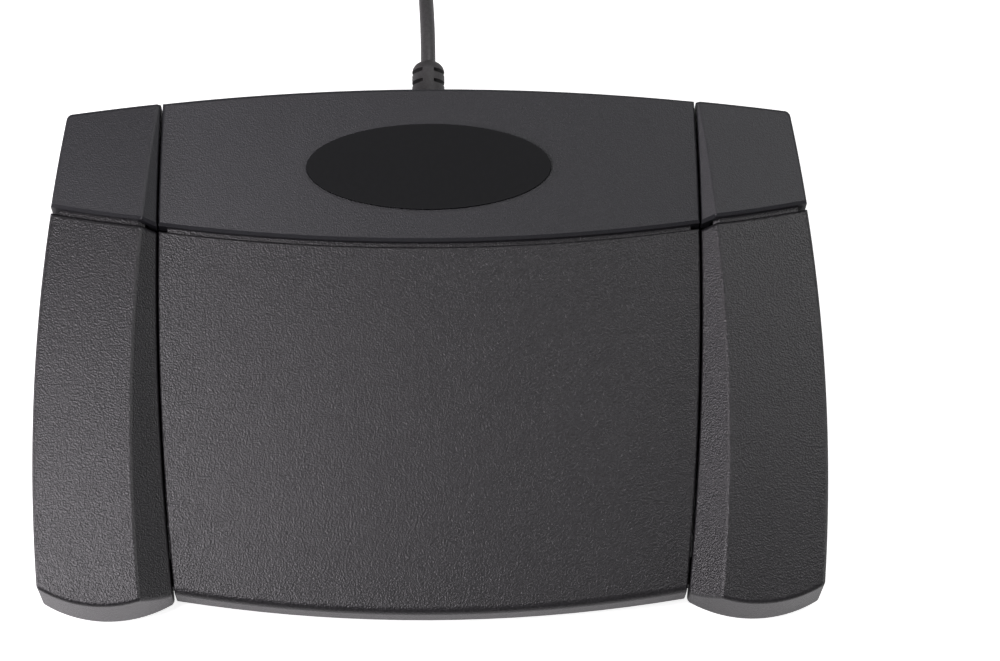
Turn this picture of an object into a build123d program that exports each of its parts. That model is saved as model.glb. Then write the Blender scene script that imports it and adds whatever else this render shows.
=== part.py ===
from build123d import *
import math
import os

os.makedirs("parts", exist_ok=True)

# A foot pedal with three treadles in a row, millimetres.
# Origin: centre of the housing's footprint on the floor. +X right, +Y to the rear, +Z up.

# Housing, overall
overall_width = 230.0
overall_depth = 152.8
half_width = overall_width / 2
half_depth = overall_depth / 2
widest_from_front = 56.4
widest_y = widest_from_front - half_depth
rear_corner_inset = 8.1
front_corner_inset = 2.3
rear_bow = 7.5
center_front_bow = 6.0
side_front_bow = 5.6
rear_height = 42.5
side_front_height = 26.0
side_crown = 0.6
center_front_height = 15.9
center_sag = 1.5
skirt_lift = 7.0
wall = 2.5
draft_angle = 1.5
overrun = 4.0
crossing_rounds = 8
upright_share = 0.9
middle_share = 0.5

# Gaps between the three columns, and the split between covers and treadles
column_gap = 0.6
rear_column_width = 36.8
front_column_width = 41.7
gap_rear_x = half_width - rear_column_width
gap_front_x = half_width - front_column_width
gap_bow = 3.44
split_gap = 1.3
cover_depth = 45.4
center_split_bow = 4.9
cap_inner_depth = 40.1
cap_outer_depth = 36.0
center_split_y = half_depth - cover_depth
side_split_inner_y = half_depth - cap_inner_depth
side_split_outer_y = half_depth - cap_outer_depth
side_split_bow = 0.25
pedal_step = 1.2
bevel_slope = 1.13

# Edge rounding
cover_edge = 0.8
cap_edge = 1.0
cover_lip_chamfer = 0.8
center_front_round = 2.2
center_edge_round = 0.6
side_edge_round = 1.2
column_corner_round = 2.0
corner_round = 1.5

# Treadle details
lip_reach = 6.0
lip_thickness = 2.0
seat_clearance = 0.3
rib_depth = 2.0
rib_width = 1.4
rib_columns = 3
flank_lift = 12.9
flank_lift_rear = 18.0
flank_step_from_hinge = 44.0
pusher_size = 5.0

# Hinge
hinge_from_rear = 28.4
hinge_from_top = 18.5
hinge_y = half_depth - hinge_from_rear
hinge_z = rear_height - hinge_from_top
rod_radius = 2.5
rod_overhang = 2.8
rod_end_chamfer = 0.5
post_bore_clearance = 0.05
lug_bore_clearance = 0.08
knuckle_radius = 5.0
lug_thickness = 4.0
post_thickness = 3.0
knuckle_gap = 0.5
center_lug_inset = 7.3
side_inner_lug_inset = 26.5
side_outer_lug_inset = 16.5
center_lug_x = gap_front_x - center_lug_inset
side_inner_lug_x = half_width - side_inner_lug_inset
side_outer_lug_x = half_width - side_outer_lug_inset
middle_post_x = 22.0
lug_reach = 40.0
lug_neck = 20.0
lug_front_y = hinge_y - lug_reach
lug_back_y = hinge_y - lug_neck
lug_depth = 6.0
post_foot = 17.0
ring_groove_radius = 2.0
ring_thickness = 0.7
ring_radius = 4.2
ring_inset = 0.8
pedal_travel_angle = 2.5

# Base tray and what stands on it
tray_inset = 4.3
foot_height = 2.0
tray_floor = 2.5
tray_rim_height = 2.0
tray_rim_width = 2.0
foot_radius = 7.0
foot_recess = 0.6
foot_clearance = 0.1
foot_front_inset = (21.0, 22.4)
foot_rear_inset = (23.0, 32.4)
ballast_inset = 20.0
ballast_spring_margin = 10.0
ballast_stop_margin = 4.5
ballast_thickness = 3.0
ballast_corner = 5.0
ballast_pin_radius = 2.0
ballast_pin_inset = 20.0
stop_radius = 4.0
stop_height = 3.0
stop_from_front = 13.9
center_stop_inset = 33.3
side_stop_inset = 21.0
stop_y = stop_from_front - half_depth
center_stop_x = gap_front_x - center_stop_inset
side_stop_x = half_width - side_stop_inset
stop_boss_radius = 5.0
cross_rib_distances = (44.0, 13.5)
cross_rib_width = 1.6
cross_rib_height = 3.0

# Springs
spring_from_hinge = 52.0
center_spring_inset = 28.3
side_spring_inset = 18.0
spring_y = hinge_y - spring_from_hinge
center_spring_x = gap_front_x - center_spring_inset
side_spring_x = half_width - side_spring_inset
spring_radius = 5.4
spring_wire = 1.2
spring_turns = 5
spring_top_z = 18.0
spring_clearance = 0.15
spring_spigot_clearance = 0.4
spring_spigot_height = 2.5
spring_boss_radius = 6.6
spring_wire_sides = 6

# Circuit board
board_end_margin = 8.5
board_depth = 23.0
board_thickness = 1.6
board_from_hinge = 29.5
board_center_y = hinge_y - board_from_hinge
board_z = 9.0
board_post_radius = 3.5
board_screw_inset = 30.0
board_screw_rise = 6.5
board_screw_center_x = 26.0
board_screw_drop = 6.0
board_screw_radius = 1.4
board_screw_head_radius = 2.7
board_screw_head = 1.8
board_screw_length = 5.0
screw_clearance = 0.05
switch_offset = 0.5
side_switch_inset = 21.5
switch_y = board_center_y - switch_offset
side_switch_x = half_width - side_switch_inset
board_width = 2 * (side_switch_x + board_end_margin)
board_screw_x = board_width / 2 - board_screw_inset
board_screw_y = board_center_y + board_screw_rise
board_screw_center_y = board_center_y - board_screw_drop
switch_length = 19.8
switch_width = 6.4
switch_height = 10.2
switch_hole_pitch = 9.5
switch_hole_height = 2.9
switch_hole_radius = 1.2
switch_pin_radius = 0.45
switch_pin_pitch = 7.5
switch_pin_length = 3.6
plunger_size = 2.4
plunger_rise = 2.0
plunger_depth = 3.0
plunger_clearance = 0.06
chip_size = 10.0
chip_height = 1.4
chip_x = -34.0
crystal_x = -46.0
capacitor_x = -15.0
capacitor_radius = 2.5
capacitor_height = 7.0
connector_size = (10.0, 7.0, 6.4)
connector_x = 8.5

# Housing screws
cover_boss_inset = (28.2, 13.4)
cap_boss_inset = (20.0, 15.4)
cover_boss_x = gap_rear_x - cover_boss_inset[0]
cover_boss_y = half_depth - cover_boss_inset[1]
cap_boss_x = half_width - cap_boss_inset[0]
cap_boss_y = half_depth - cap_boss_inset[1]
boss_radius = 4.0
boss_foot_radius = 5.5
boss_joint_z = 14.0
housing_screw_radius = 1.5
housing_screw_length = 20.0
housing_screw_head_radius = 3.0
housing_screw_head = 2.2
counterbore_radius = 3.3
counterbore_depth = 3.4

# Badge
badge_width = 72.0
badge_depth = 25.6
badge_from_rear = 23.9
badge_y = half_depth - badge_from_rear
badge_recess = 1.0
badge_thickness = 1.0
badge_rim_width = 1.0
badge_rim_height = 0.25
badge_clearance = 0.15

# Cord, its exit and its clamp
cord_radius = 2.25
cord_exit_z = 16.0
relief_radius = 4.9
relief_length = 18.6
relief_dome = 3.4
relief_flange_radius = 6.6
relief_flange_thickness = 1.4
relief_hole_clearance = 0.1
relief_slot = 1.3
relief_slot_distances = (11.2, 14.7)
relief_spine_width = 3.4
relief_core_radius = 2.9
relief_wall_margin = 0.45
clamp_from_rear = 13.4
clamp_y = half_depth - clamp_from_rear
clamp_size = (24.0, 8.0, 3.0)
clamp_screw_x = 8.0
clamp_saddle = (24.0, 10.0)
tail_bend_from_rear = 24.9
tail_bend_y = half_depth - tail_bend_from_rear
corner_share = 0.45

# Cord routes: distance to the side, behind the housing's rear wall, and up
cord_points = (
    (0, 28.6, 16.0),
    (-0.7, 44.6, 10.6),
    (-1.2, 62.6, 2.25),
    (-0.5, 75.1, 2.25),
)
plug_points = (
    (0.4, 120.1, 16.2),
    (-6.3, 131.2, 10.9),
    (-17.5, 137.9, 5.9),
    (-31.0, 139.6, 3.75),
)
coil_exit_run = 16.0

# Cord coil behind the housing
coil_center_x = -32.0
coil_from_rear = 91.6
coil_center = (coil_center_x, half_depth + coil_from_rear)
coil_outer_radius = 31.5
coil_pitch = 5.3
coil_layer = 6.0
coil_half_turns = 7
coil_layers = 4
coil_reversal_step = 0.8
cord_sides = 8

# Plug
plug_width = 15.6
plug_thickness = 7.5
plug_length = 33.4
plug_neck_width = 11.6
plug_neck_length = 7.0
plug_taper_length = 3.4
plug_corner = 1.2
plug_fit = 0.05
plug_from_rear = 139.6
plug_y = half_depth + plug_from_rear
plug_tail_x = -44.0
plug_shell_width = 12.0
plug_shell_height = 4.5
plug_shell_reach = 11.6
plug_shell_root = 6.0
plug_shell_wall = 0.3
plug_shell_corner = 0.6
plug_window = (2.7, 2.2)
plug_window_x = 3.05
plug_window_from_tip = 5.9
plug_tongue_thickness = 1.8
plug_tongue_setback = 1.0
plug_contact_width = 1.0
plug_contact_pitch = 2.4
plug_contact_thickness = 0.2
plug_contact_setback = 1.6
plug_relief_length = 9.8
plug_relief_radius = 3.7
plug_relief_tip_radius = 2.7
plug_relief_rings = 4
plug_grip_from = 6.2
plug_grip_length = 8.0
plug_grip_ribs = 7
plug_grip_depth = 0.5
plug_panel_depth = 0.25
plug_panel_size = (19.0, 10.4)
plug_panel_margin = 3.0
plug_dimple_from_front = 25.4
plug_dimple_radius = 0.6
plug_detent_from_tip = 9.0
plug_relief_spine = 1.6
contact_shares = (-1.5, -0.5, 0.5, 1.5)


class PlanArc:
    """A circle through three points of the plan, of which one stretch is used."""

    def __init__(self, start, middle, end):
        self.points = (start, middle, end)
        (ax, ay), (bx, by), (cx, cy) = self.points
        turn = 2 * (ax * (by - cy) + bx * (cy - ay) + cx * (ay - by))
        a, b, c = (x * x + y * y for x, y in self.points)
        self.cx = (a * (by - cy) + b * (cy - ay) + c * (ay - by)) / turn
        self.cy = (a * (cx - bx) + b * (ax - cx) + c * (bx - ax)) / turn
        self.radius = math.hypot(ax - self.cx, ay - self.cy)

    def x_at(self, y):
        """The arc's x at a given y, on the side of its middle point."""
        reach = math.sqrt(self.radius**2 - (y - self.cy) ** 2)
        return self.cx + math.copysign(reach, self.points[1][0] - self.cx)

    def y_at(self, x):
        """The arc's y at a given x, on the side of its middle point."""
        reach = math.sqrt(self.radius**2 - (x - self.cx) ** 2)
        return self.cy + math.copysign(reach, self.points[1][1] - self.cy)

    def moved(self, dx, dy):
        """The same arc, shifted in the plan."""
        return PlanArc(*((x + dx, y + dy) for x, y in self.points))


def crossing(lengthwise, crosswise):
    """Where an arc that runs along Y meets one that runs along X."""
    x = lengthwise.points[1][0]
    for _ in range(crossing_rounds):
        y = crosswise.y_at(x)
        x = lengthwise.x_at(y)
    return x, y


# Plan of the housing, right half: every outline below is cut from these arcs
rear_arc = PlanArc(
    (-half_width + rear_corner_inset, half_depth - rear_bow),
    (0, half_depth),
    (half_width - rear_corner_inset, half_depth - rear_bow),
)
side_arc = PlanArc(
    (half_width - rear_corner_inset, half_depth - rear_bow),
    (half_width, widest_y),
    (half_width - front_corner_inset, -half_depth + side_front_bow),
)
gap_arc = PlanArc(
    (gap_rear_x, half_depth),
    ((gap_rear_x + gap_front_x) / 2 + gap_bow, 0),
    (gap_front_x, -half_depth),
)
center_front_arc = PlanArc(
    (-gap_front_x, -half_depth + center_front_bow),
    (0, -half_depth),
    (gap_front_x, -half_depth + center_front_bow),
)
side_front_arc = PlanArc(
    (gap_front_x, -half_depth + center_front_bow),
    ((gap_front_x + half_width - front_corner_inset) / 2, -half_depth),
    (half_width - front_corner_inset, -half_depth + side_front_bow),
)
center_split = PlanArc(
    (-gap_rear_x, center_split_y + center_split_bow),
    (0, center_split_y),
    (gap_rear_x, center_split_y + center_split_bow),
)
inner_line = gap_arc.moved(column_gap / 2, 0)
center_line = gap_arc.moved(-column_gap / 2, 0)

# Heights of the two tops over the depth
side_profile = PlanArc(
    (-half_depth, side_front_height),
    (0, (side_front_height + rear_height) / 2 + side_crown),
    (half_depth, rear_height),
)
center_profile = PlanArc(
    (-half_depth, center_front_height),
    (0, (center_front_height + rear_height) / 2 - center_sag),
    (half_depth, rear_height),
)


def bevel_width(y):
    """Plan width of the side column's inner bevel at a given depth."""
    return (side_profile.y_at(y) - center_profile.y_at(y)) / bevel_slope


def arc_between(arc, start, end):
    """Adds to the current line the stretch of an arc between two of its points."""
    if abs(end[0] - start[0]) > abs(end[1] - start[1]):
        middle = (start[0] + end[0]) / 2
        ThreePointArc(start, (middle, arc.y_at(middle)), end)
    else:
        middle = (start[1] + end[1]) / 2
        ThreePointArc(start, (arc.x_at(middle), middle), end)


def side_split_points(shift):
    """Foot of the bevel, top of the bevel, middle and outer end of the side split, moved along Y."""
    foot = (inner_line.x_at(side_split_inner_y), center_split.y_at(gap_rear_x) + shift)
    top = (foot[0] + bevel_width(side_split_inner_y), side_split_inner_y + shift)
    outer = (side_arc.x_at(side_split_outer_y + shift), side_split_outer_y + shift)
    middle = ((top[0] + outer[0]) / 2, (top[1] + outer[1]) / 2 - side_split_bow)
    return foot, top, middle, outer


def side_split_line(shift):
    """Adds the side split, from its outer end to the foot of the bevel."""
    foot, top, middle, outer = side_split_points(shift)
    ThreePointArc(outer, middle, top)
    Line(top, foot)


def center_cover_outline(front_shift):
    """Adds the plan of the rear cover, its front edge moved along Y."""
    front = center_split.moved(0, front_shift)
    rear_corner = crossing(center_line, rear_arc)
    front_corner = crossing(center_line, front)
    arc_between(rear_arc, (0, rear_arc.y_at(0)), rear_corner)
    arc_between(center_line, rear_corner, front_corner)
    arc_between(front, front_corner, (0, front.y_at(0)))
    mirror(about=Plane.YZ)


def center_pedal_outline(rear_shift):
    """Adds the plan of the center pedal, its rear edge moved along Y."""
    rear = center_split.moved(0, rear_shift)
    rear_corner = crossing(center_line, rear)
    front_corner = crossing(center_line, center_front_arc)
    arc_between(rear, (0, rear.y_at(0)), rear_corner)
    arc_between(center_line, rear_corner, front_corner)
    arc_between(center_front_arc, front_corner, (0, center_front_arc.y_at(0)))
    mirror(about=Plane.YZ)


def side_cap_outline(front_shift):
    """Adds the plan of the right rear cap, its front edge moved along Y."""
    foot, _, _, outer = side_split_points(front_shift)
    inner = crossing(inner_line, rear_arc)
    corner = crossing(side_arc, rear_arc)
    arc_between(rear_arc, inner, corner)
    arc_between(side_arc, corner, outer)
    side_split_line(front_shift)
    arc_between(inner_line, foot, inner)


def side_pedal_outline(rear_shift):
    """Adds the plan of the right pedal, its rear edge moved along Y."""
    foot, _, _, outer = side_split_points(rear_shift)
    inner = crossing(inner_line, side_front_arc)
    corner = crossing(side_arc, side_front_arc)
    side_split_line(rear_shift)
    arc_between(inner_line, foot, inner)
    arc_between(side_front_arc, inner, corner)
    arc_between(side_arc, corner, outer)


def above_profile(profile, drop):
    """Everything over a top profile lowered by drop."""
    low = -half_depth - overrun
    high = half_depth + overrun
    ceiling = rear_height + 2 * overrun
    with BuildPart() as above:
        with BuildSketch(Plane.YZ):
            with BuildLine():
                ThreePointArc(
                    (low, profile.y_at(low) - drop),
                    (0, profile.y_at(0) - drop),
                    (high, profile.y_at(high) - drop),
                )
                Polyline(
                    (high, profile.y_at(high) - drop),
                    (high, ceiling),
                    (low, ceiling),
                    (low, profile.y_at(low) - drop),
                )
            make_face()
        extrude(amount=overall_width, both=True)
    return above.part


def center_envelope(inset):
    """Space inside the middle column's rear and front walls, which lean with the mould's draft."""
    reach = gap_rear_x + overrun
    rear_y = rear_arc.y_at(reach)
    front_y = center_front_arc.y_at(reach)
    with BuildPart() as envelope:
        with BuildSketch(Plane.XY.offset(skirt_lift)):
            with BuildLine():
                arc_between(rear_arc, (-reach, rear_y), (reach, rear_y))
                Line((reach, rear_y), (reach, front_y))
                arc_between(center_front_arc, (reach, front_y), (-reach, front_y))
                Line((-reach, front_y), (-reach, rear_y))
            make_face()
            offset(amount=-inset, kind=Kind.ARC)
        extrude(amount=rear_height, taper=draft_angle)
        extrude(envelope.faces().sort_by(Axis.Z)[0], amount=skirt_lift)
    return envelope.part


def side_envelope(inset):
    """Space inside the right column's rear, outer and front walls, which lean with the mould's draft."""
    inner_x = gap_front_x - overrun
    rear_inner = (inner_x, rear_arc.y_at(inner_x))
    front_inner = (inner_x, side_front_arc.y_at(inner_x))
    rear_corner = crossing(side_arc, rear_arc)
    front_corner = crossing(side_arc, side_front_arc)
    with BuildPart() as envelope:
        with BuildSketch(Plane.XY.offset(skirt_lift)):
            with BuildLine():
                arc_between(rear_arc, rear_inner, rear_corner)
                arc_between(side_arc, rear_corner, front_corner)
                arc_between(side_front_arc, front_corner, front_inner)
                Line(front_inner, rear_inner)
            make_face()
            offset(amount=-inset, kind=Kind.ARC)
        extrude(amount=rear_height, taper=draft_angle)
        extrude(envelope.faces().sort_by(Axis.Z)[0], amount=skirt_lift)
    return envelope.part


def column_block(outline, envelope, shift, inset, profile, drop):
    """Solid under a column's top: its plan drawn in by inset, its top lowered by drop."""
    floor_z = skirt_lift if not inset else 0
    with BuildPart() as block:
        with BuildSketch(Plane.XY.offset(floor_z)):
            with BuildLine():
                outline(shift)
            make_face()
            if inset:
                offset(amount=-inset, kind=Kind.ARC)
        extrude(amount=rear_height + overrun - floor_z)
        add(above_profile(profile, drop), mode=Mode.SUBTRACT)
        add(envelope(inset), mode=Mode.INTERSECT)
    return block.part


def bevel_wedge(drop):
    """What the inner bevel takes off a side column, as sections lofted along the gap."""
    with BuildPart() as wedge:
        for share in (1.1, 0.5, 0, -0.5, -1.1):
            y = share * half_depth
            foot_x = inner_line.x_at(y)
            foot_z = center_profile.y_at(y) - drop
            top_z = side_profile.y_at(y) + overrun
            low = (foot_x - overrun, foot_z - overrun * bevel_slope)
            high = (foot_x + (top_z - foot_z) / bevel_slope, top_z)
            with BuildSketch(Plane.XZ.offset(-y)):
                with BuildLine():
                    Polyline(low, high, (low[0], high[1]), close=True)
                make_face()
        loft()
    return wedge.part


def housing_plan(inset, z):
    """The whole housing's plan at a height, drawn in by inset."""
    rear_corner = crossing(side_arc, rear_arc)
    front_corner = crossing(side_arc, side_front_arc)
    notch = crossing(gap_arc, center_front_arc)
    with BuildSketch(Plane.XY.offset(z)) as plan:
        with BuildLine():
            arc_between(rear_arc, (0, rear_arc.y_at(0)), rear_corner)
            arc_between(side_arc, rear_corner, front_corner)
            arc_between(side_front_arc, front_corner, notch)
            arc_between(center_front_arc, notch, (0, center_front_arc.y_at(0)))
            mirror(about=Plane.YZ)
        make_face()
        offset(amount=-inset, kind=Kind.ARC)
    return plan.sketch


# Levels that several pieces share
tray_top = foot_height + tray_floor
board_top = board_z + board_thickness
switch_top = board_top + switch_height
plunger_top = switch_top + plunger_rise
slant_wall = wall * math.hypot(1, bevel_slope)
slant_seat = (wall + seat_clearance) * math.hypot(1, bevel_slope)
travel_angle = math.radians(pedal_travel_angle)
post_offset = (lug_thickness + post_thickness) / 2 + knuckle_gap
post_places = (
    middle_post_x,
    center_lug_x - post_offset,
    side_inner_lug_x - post_offset,
    side_outer_lug_x + post_offset,
)

through_front = -(wall + overrun)
through_rear = wall + overrun


def crown_edges(part, low_y, high_y):
    """Edges between a column's top and its walls, between two places along Y."""
    return part.edges().filter_by(
        lambda edge: edge.center().Z > skirt_lift + overrun
        and abs((edge % middle_share).Z) < upright_share
        and low_y < edge.center().Y < high_y
    )


def corner_edges(part, low_y, high_y):
    """Upright edges of a column's walls, between two places along Y."""
    return part.edges().filter_by(
        lambda edge: abs((edge % middle_share).Z) > upright_share and low_y < edge.center().Y < high_y
    )


def curtain_cut(x_from, x_to):
    """Space for the hinge rod under the inner flanks of a cover, between two places along X."""
    rear_y = rear_arc.y_at(max(abs(x_from), abs(x_to))) - 2 * wall
    with BuildPart() as block:
        with Locations(((x_from + x_to) / 2, rear_y - half_depth / 2, 0)):
            Box(abs(x_to - x_from), half_depth, 2 * (hinge_z + knuckle_radius + knuckle_gap))
    return block.part


def screw_boss(x, y, ceiling):
    """Boss that hangs from a cover's top to meet the tray's post, bored for the housing screw."""
    with BuildPart() as boss:
        with BuildSketch(Plane.XY.offset(boss_joint_z)):
            with Locations((x, y)):
                Circle(boss_radius)
        extrude(amount=ceiling - boss_joint_z)
        with BuildSketch(Plane.XY.offset(boss_joint_z)):
            with Locations((x, y)):
                Circle(housing_screw_radius + screw_clearance)
        extrude(amount=housing_screw_length, mode=Mode.SUBTRACT)
    return boss.part


# Rear cover: a shell over the middle column, open below and to the front
badge_z = center_profile.y_at(badge_y)
badge_tilt = math.atan2(center_profile.cx - badge_y, badge_z - center_profile.cy)
badge_plane = Plane(
    origin=(0, badge_y, badge_z),
    x_dir=(1, 0, 0),
    z_dir=(0, -math.sin(badge_tilt), math.cos(badge_tilt)),
)
exit_radius = relief_radius + relief_hole_clearance
with BuildPart() as rear_cover:
    add(column_block(center_cover_outline, center_envelope, 0, 0, center_profile, 0))
    chamfer(crown_edges(rear_cover, 0, hinge_y - lip_reach), cover_lip_chamfer)
    fillet(crown_edges(rear_cover, hinge_y, half_depth), cover_edge)
    add(
        column_block(center_cover_outline, center_envelope, through_front, wall, center_profile, wall),
        mode=Mode.SUBTRACT,
    )
    add(curtain_cut(gap_rear_x - 2 * wall, gap_rear_x + 2 * wall), mode=Mode.SUBTRACT)
    add(curtain_cut(-gap_rear_x - 2 * wall, -gap_rear_x + 2 * wall), mode=Mode.SUBTRACT)
    for x in (-cover_boss_x, cover_boss_x):
        add(screw_boss(x, cover_boss_y, center_profile.y_at(cover_boss_y) - wall / 2))
    with BuildSketch(Plane.XZ.offset(-half_depth)):
        with Locations((0, cord_exit_z)):
            Circle(exit_radius)
    extrude(amount=2 * wall, both=True, mode=Mode.SUBTRACT)
    with BuildSketch(badge_plane.offset(-badge_recess)):
        Ellipse(badge_width / 2, badge_depth / 2)
    extrude(amount=badge_recess + overrun, mode=Mode.SUBTRACT)
rear_cover.part.label = "rear_cover"

# Oval badge: a plain plate with a raised rim, set into the rear cover
with BuildPart() as oval_badge:
    with BuildSketch(badge_plane.offset(-badge_recess)):
        Ellipse(badge_width / 2 - badge_clearance, badge_depth / 2 - badge_clearance)
    extrude(amount=badge_thickness)
    with BuildSketch(badge_plane.offset(badge_thickness - badge_recess)):
        Ellipse(badge_width / 2 - badge_clearance, badge_depth / 2 - badge_clearance)
        Ellipse(
            badge_width / 2 - badge_clearance - badge_rim_width,
            badge_depth / 2 - badge_clearance - badge_rim_width,
            mode=Mode.SUBTRACT,
        )
    extrude(amount=badge_rim_height)
oval_badge.part.label = "oval_badge"

# Rear caps: shells over the outer columns, bevelled toward the middle
with BuildPart() as cap_cavity:
    add(column_block(side_cap_outline, side_envelope, through_front, wall, side_profile, wall))
    add(bevel_wedge(slant_wall), mode=Mode.SUBTRACT)
with BuildPart() as right_rear_cap:
    add(column_block(side_cap_outline, side_envelope, 0, 0, side_profile, 0))
    add(bevel_wedge(0), mode=Mode.SUBTRACT)
    fillet(corner_edges(right_rear_cap, cap_boss_y, half_depth).sort_by(Axis.X)[-1], column_corner_round)
    chamfer(crown_edges(right_rear_cap, 0, hinge_y - lip_reach), cover_lip_chamfer)
    fillet(crown_edges(right_rear_cap, hinge_y, half_depth), cap_edge)
    add(cap_cavity.part, mode=Mode.SUBTRACT)
    add(curtain_cut(gap_rear_x - 2 * wall, gap_rear_x + 3 * wall), mode=Mode.SUBTRACT)
    add(screw_boss(cap_boss_x, cap_boss_y, side_profile.y_at(cap_boss_y) - wall / 2))
right_rear_cap.part.label = "right_rear_cap"

# Treadles: ribbed shells, open below and to the rear, with a lip that reaches under the covers


def under_skin(profile, y):
    """Height of the underside of a treadle's top."""
    return profile.y_at(y) - pedal_step - wall


def lip(outline, envelope, profile):
    """Ledge along a treadle's rear edge that rests up against the cover in front of the hinge."""
    drop = wall + seat_clearance
    with BuildPart() as ledge:
        add(column_block(outline, envelope, lip_reach + wall, wall, profile, drop))
        add(above_profile(profile, drop + lip_thickness), mode=Mode.INTERSECT)
        add(column_block(outline, envelope, -2 * wall, seat_clearance, profile, 0), mode=Mode.SUBTRACT)
    return ledge.part


def hinge_lug(x, profile):
    """Arm from a treadle's underside back to the hinge rod."""
    root = wall / 2
    with BuildPart() as lug:
        with BuildSketch(Plane.YZ.offset(x - lug_thickness / 2)):
            with BuildLine():
                Polyline(
                    (lug_front_y, under_skin(profile, lug_front_y) + root),
                    (lug_back_y, under_skin(profile, lug_back_y) + root),
                    (hinge_y, hinge_z + knuckle_radius),
                    (hinge_y, hinge_z - knuckle_radius),
                    (lug_back_y, under_skin(profile, lug_back_y) - lug_depth),
                    (lug_front_y, under_skin(profile, lug_front_y) - root),
                    close=True,
                )
            make_face()
            with Locations((hinge_y, hinge_z)):
                Circle(knuckle_radius)
                Circle(rod_radius + lug_bore_clearance, mode=Mode.SUBTRACT)
        extrude(amount=lug_thickness)
    return lug.part


def underside_ribs(profile, xs, ys):
    """Stiffening lattice under a treadle's top, the ribs at the given places."""
    with BuildPart() as ribs:
        for x in xs:
            with Locations((x, (ys[0] + ys[-1]) / 2, 0)):
                Box(rib_width, ys[-1] - ys[0], 2 * rear_height)
        for y in ys:
            with Locations(((xs[0] + xs[-1]) / 2, y, 0)):
                Box(xs[-1] - xs[0], rib_width, 2 * rear_height)
        add(above_profile(profile, pedal_step + wall / 2), mode=Mode.SUBTRACT)
        add(above_profile(profile, pedal_step + wall + rib_depth), mode=Mode.INTERSECT)
    return ribs.part


def hanging_boss(x, y, radius, bottom, profile):
    """Round boss from a treadle's underside down to a level."""
    with BuildPart() as boss:
        with BuildSketch(Plane.XY.offset(bottom)):
            with Locations((x, y)):
                Circle(radius)
        extrude(amount=profile.y_at(y) - pedal_step - wall / 2 - bottom)
    return boss.part


def pusher(x, profile):
    """Square foot that stands just over a switch's plunger."""
    bottom = plunger_top + seat_clearance
    with BuildPart() as foot:
        with BuildSketch(Plane.XY.offset(bottom)):
            with Locations((x, switch_y)):
                Rectangle(pusher_size, pusher_size)
        extrude(amount=profile.y_at(switch_y) - pedal_step - wall / 2 - bottom)
    return foot.part


stop_boss_z = tray_top + stop_height + seat_clearance + math.sin(travel_angle) * (
    hinge_y - stop_y + stop_boss_radius
)
spigot_radius = spring_radius - spring_wire / 2 - spring_spigot_clearance

with BuildPart() as flank_relief:
    extrude(housing_plan(wall + seat_clearance, 0), amount=flank_lift_rear, dir=(0, 0, 1))
    with Locations((0, hinge_y - flank_step_from_hinge - half_depth, flank_lift + flank_lift_rear / 2)):
        Box(overall_width, overall_depth, flank_lift_rear, mode=Mode.SUBTRACT)


def treadle_works(profile, lug_xs, spring_xs, stop_xs, switch_x, rib_xs):
    """All that hangs under one treadle: lugs, spring seats, stops, pusher and ribs."""
    front_rib = stop_y + stop_boss_radius
    rows = 5
    rib_ys = [front_rib + (lug_back_y - front_rib) * row / (rows - 1) for row in range(rows)]
    with BuildPart() as works:
        for x in lug_xs:
            add(hinge_lug(x, profile))
        for x in spring_xs:
            add(hanging_boss(x, spring_y, spring_boss_radius, spring_top_z, profile))
            add(hanging_boss(x, spring_y, spigot_radius, spring_top_z - spring_spigot_height, profile))
        for x in stop_xs:
            add(hanging_boss(x, stop_y, stop_boss_radius, stop_boss_z, profile))
        add(pusher(switch_x, profile))
        add(underside_ribs(profile, rib_xs, rib_ys))
    return works.part


with BuildPart() as center_pedal:
    add(column_block(center_pedal_outline, center_envelope, -split_gap, 0, center_profile, pedal_step))
    fillet(crown_edges(center_pedal, -half_depth - overrun, stop_y - stop_radius), center_front_round)
    fillet(crown_edges(center_pedal, -half_depth / 2, half_depth), center_edge_round)
    add(
        column_block(
            center_pedal_outline, center_envelope, through_rear, wall, center_profile, pedal_step + wall
        ),
        mode=Mode.SUBTRACT,
    )
    add(flank_relief.part, mode=Mode.SUBTRACT)
    add(lip(center_pedal_outline, center_envelope, center_profile))
    add(
        treadle_works(
            center_profile,
            (-center_lug_x, center_lug_x),
            (-center_spring_x, center_spring_x),
            (-center_stop_x, center_stop_x),
            0,
            [column * center_lug_x / rib_columns for column in range(-rib_columns, rib_columns + 1)],
        )
    )
center_pedal.part.label = "center_pedal"

with BuildPart() as pedal_cavity:
    add(column_block(side_pedal_outline, side_envelope, through_rear, wall, side_profile, pedal_step + wall))
    add(bevel_wedge(pedal_step + slant_wall), mode=Mode.SUBTRACT)
with BuildPart() as side_lip:
    add(lip(side_pedal_outline, side_envelope, side_profile))
    add(bevel_wedge(slant_seat), mode=Mode.SUBTRACT)
with BuildPart() as right_pedal:
    add(column_block(side_pedal_outline, side_envelope, -split_gap, 0, side_profile, pedal_step))
    add(bevel_wedge(pedal_step), mode=Mode.SUBTRACT)
    fillet(corner_edges(right_pedal, -half_depth, 0), column_corner_round)
    fillet(crown_edges(right_pedal, -half_depth, half_depth), side_edge_round)
    add(pedal_cavity.part, mode=Mode.SUBTRACT)
    add(flank_relief.part, mode=Mode.SUBTRACT)
    add(side_lip.part)
    add(
        treadle_works(
            side_profile,
            (side_inner_lug_x, side_outer_lug_x),
            (side_spring_x,),
            (side_stop_x,),
            side_switch_x,
            [side_inner_lug_x, side_outer_lug_x],
        )
    )
right_pedal.part.label = "right_pedal"

with BuildPart() as left_pedal:
    mirror(right_pedal.part, about=Plane.YZ)
left_pedal.part.label = "left_pedal"

with BuildPart() as left_rear_cap:
    mirror(right_rear_cap.part, about=Plane.YZ)
left_rear_cap.part.label = "left_rear_cap"


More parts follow.
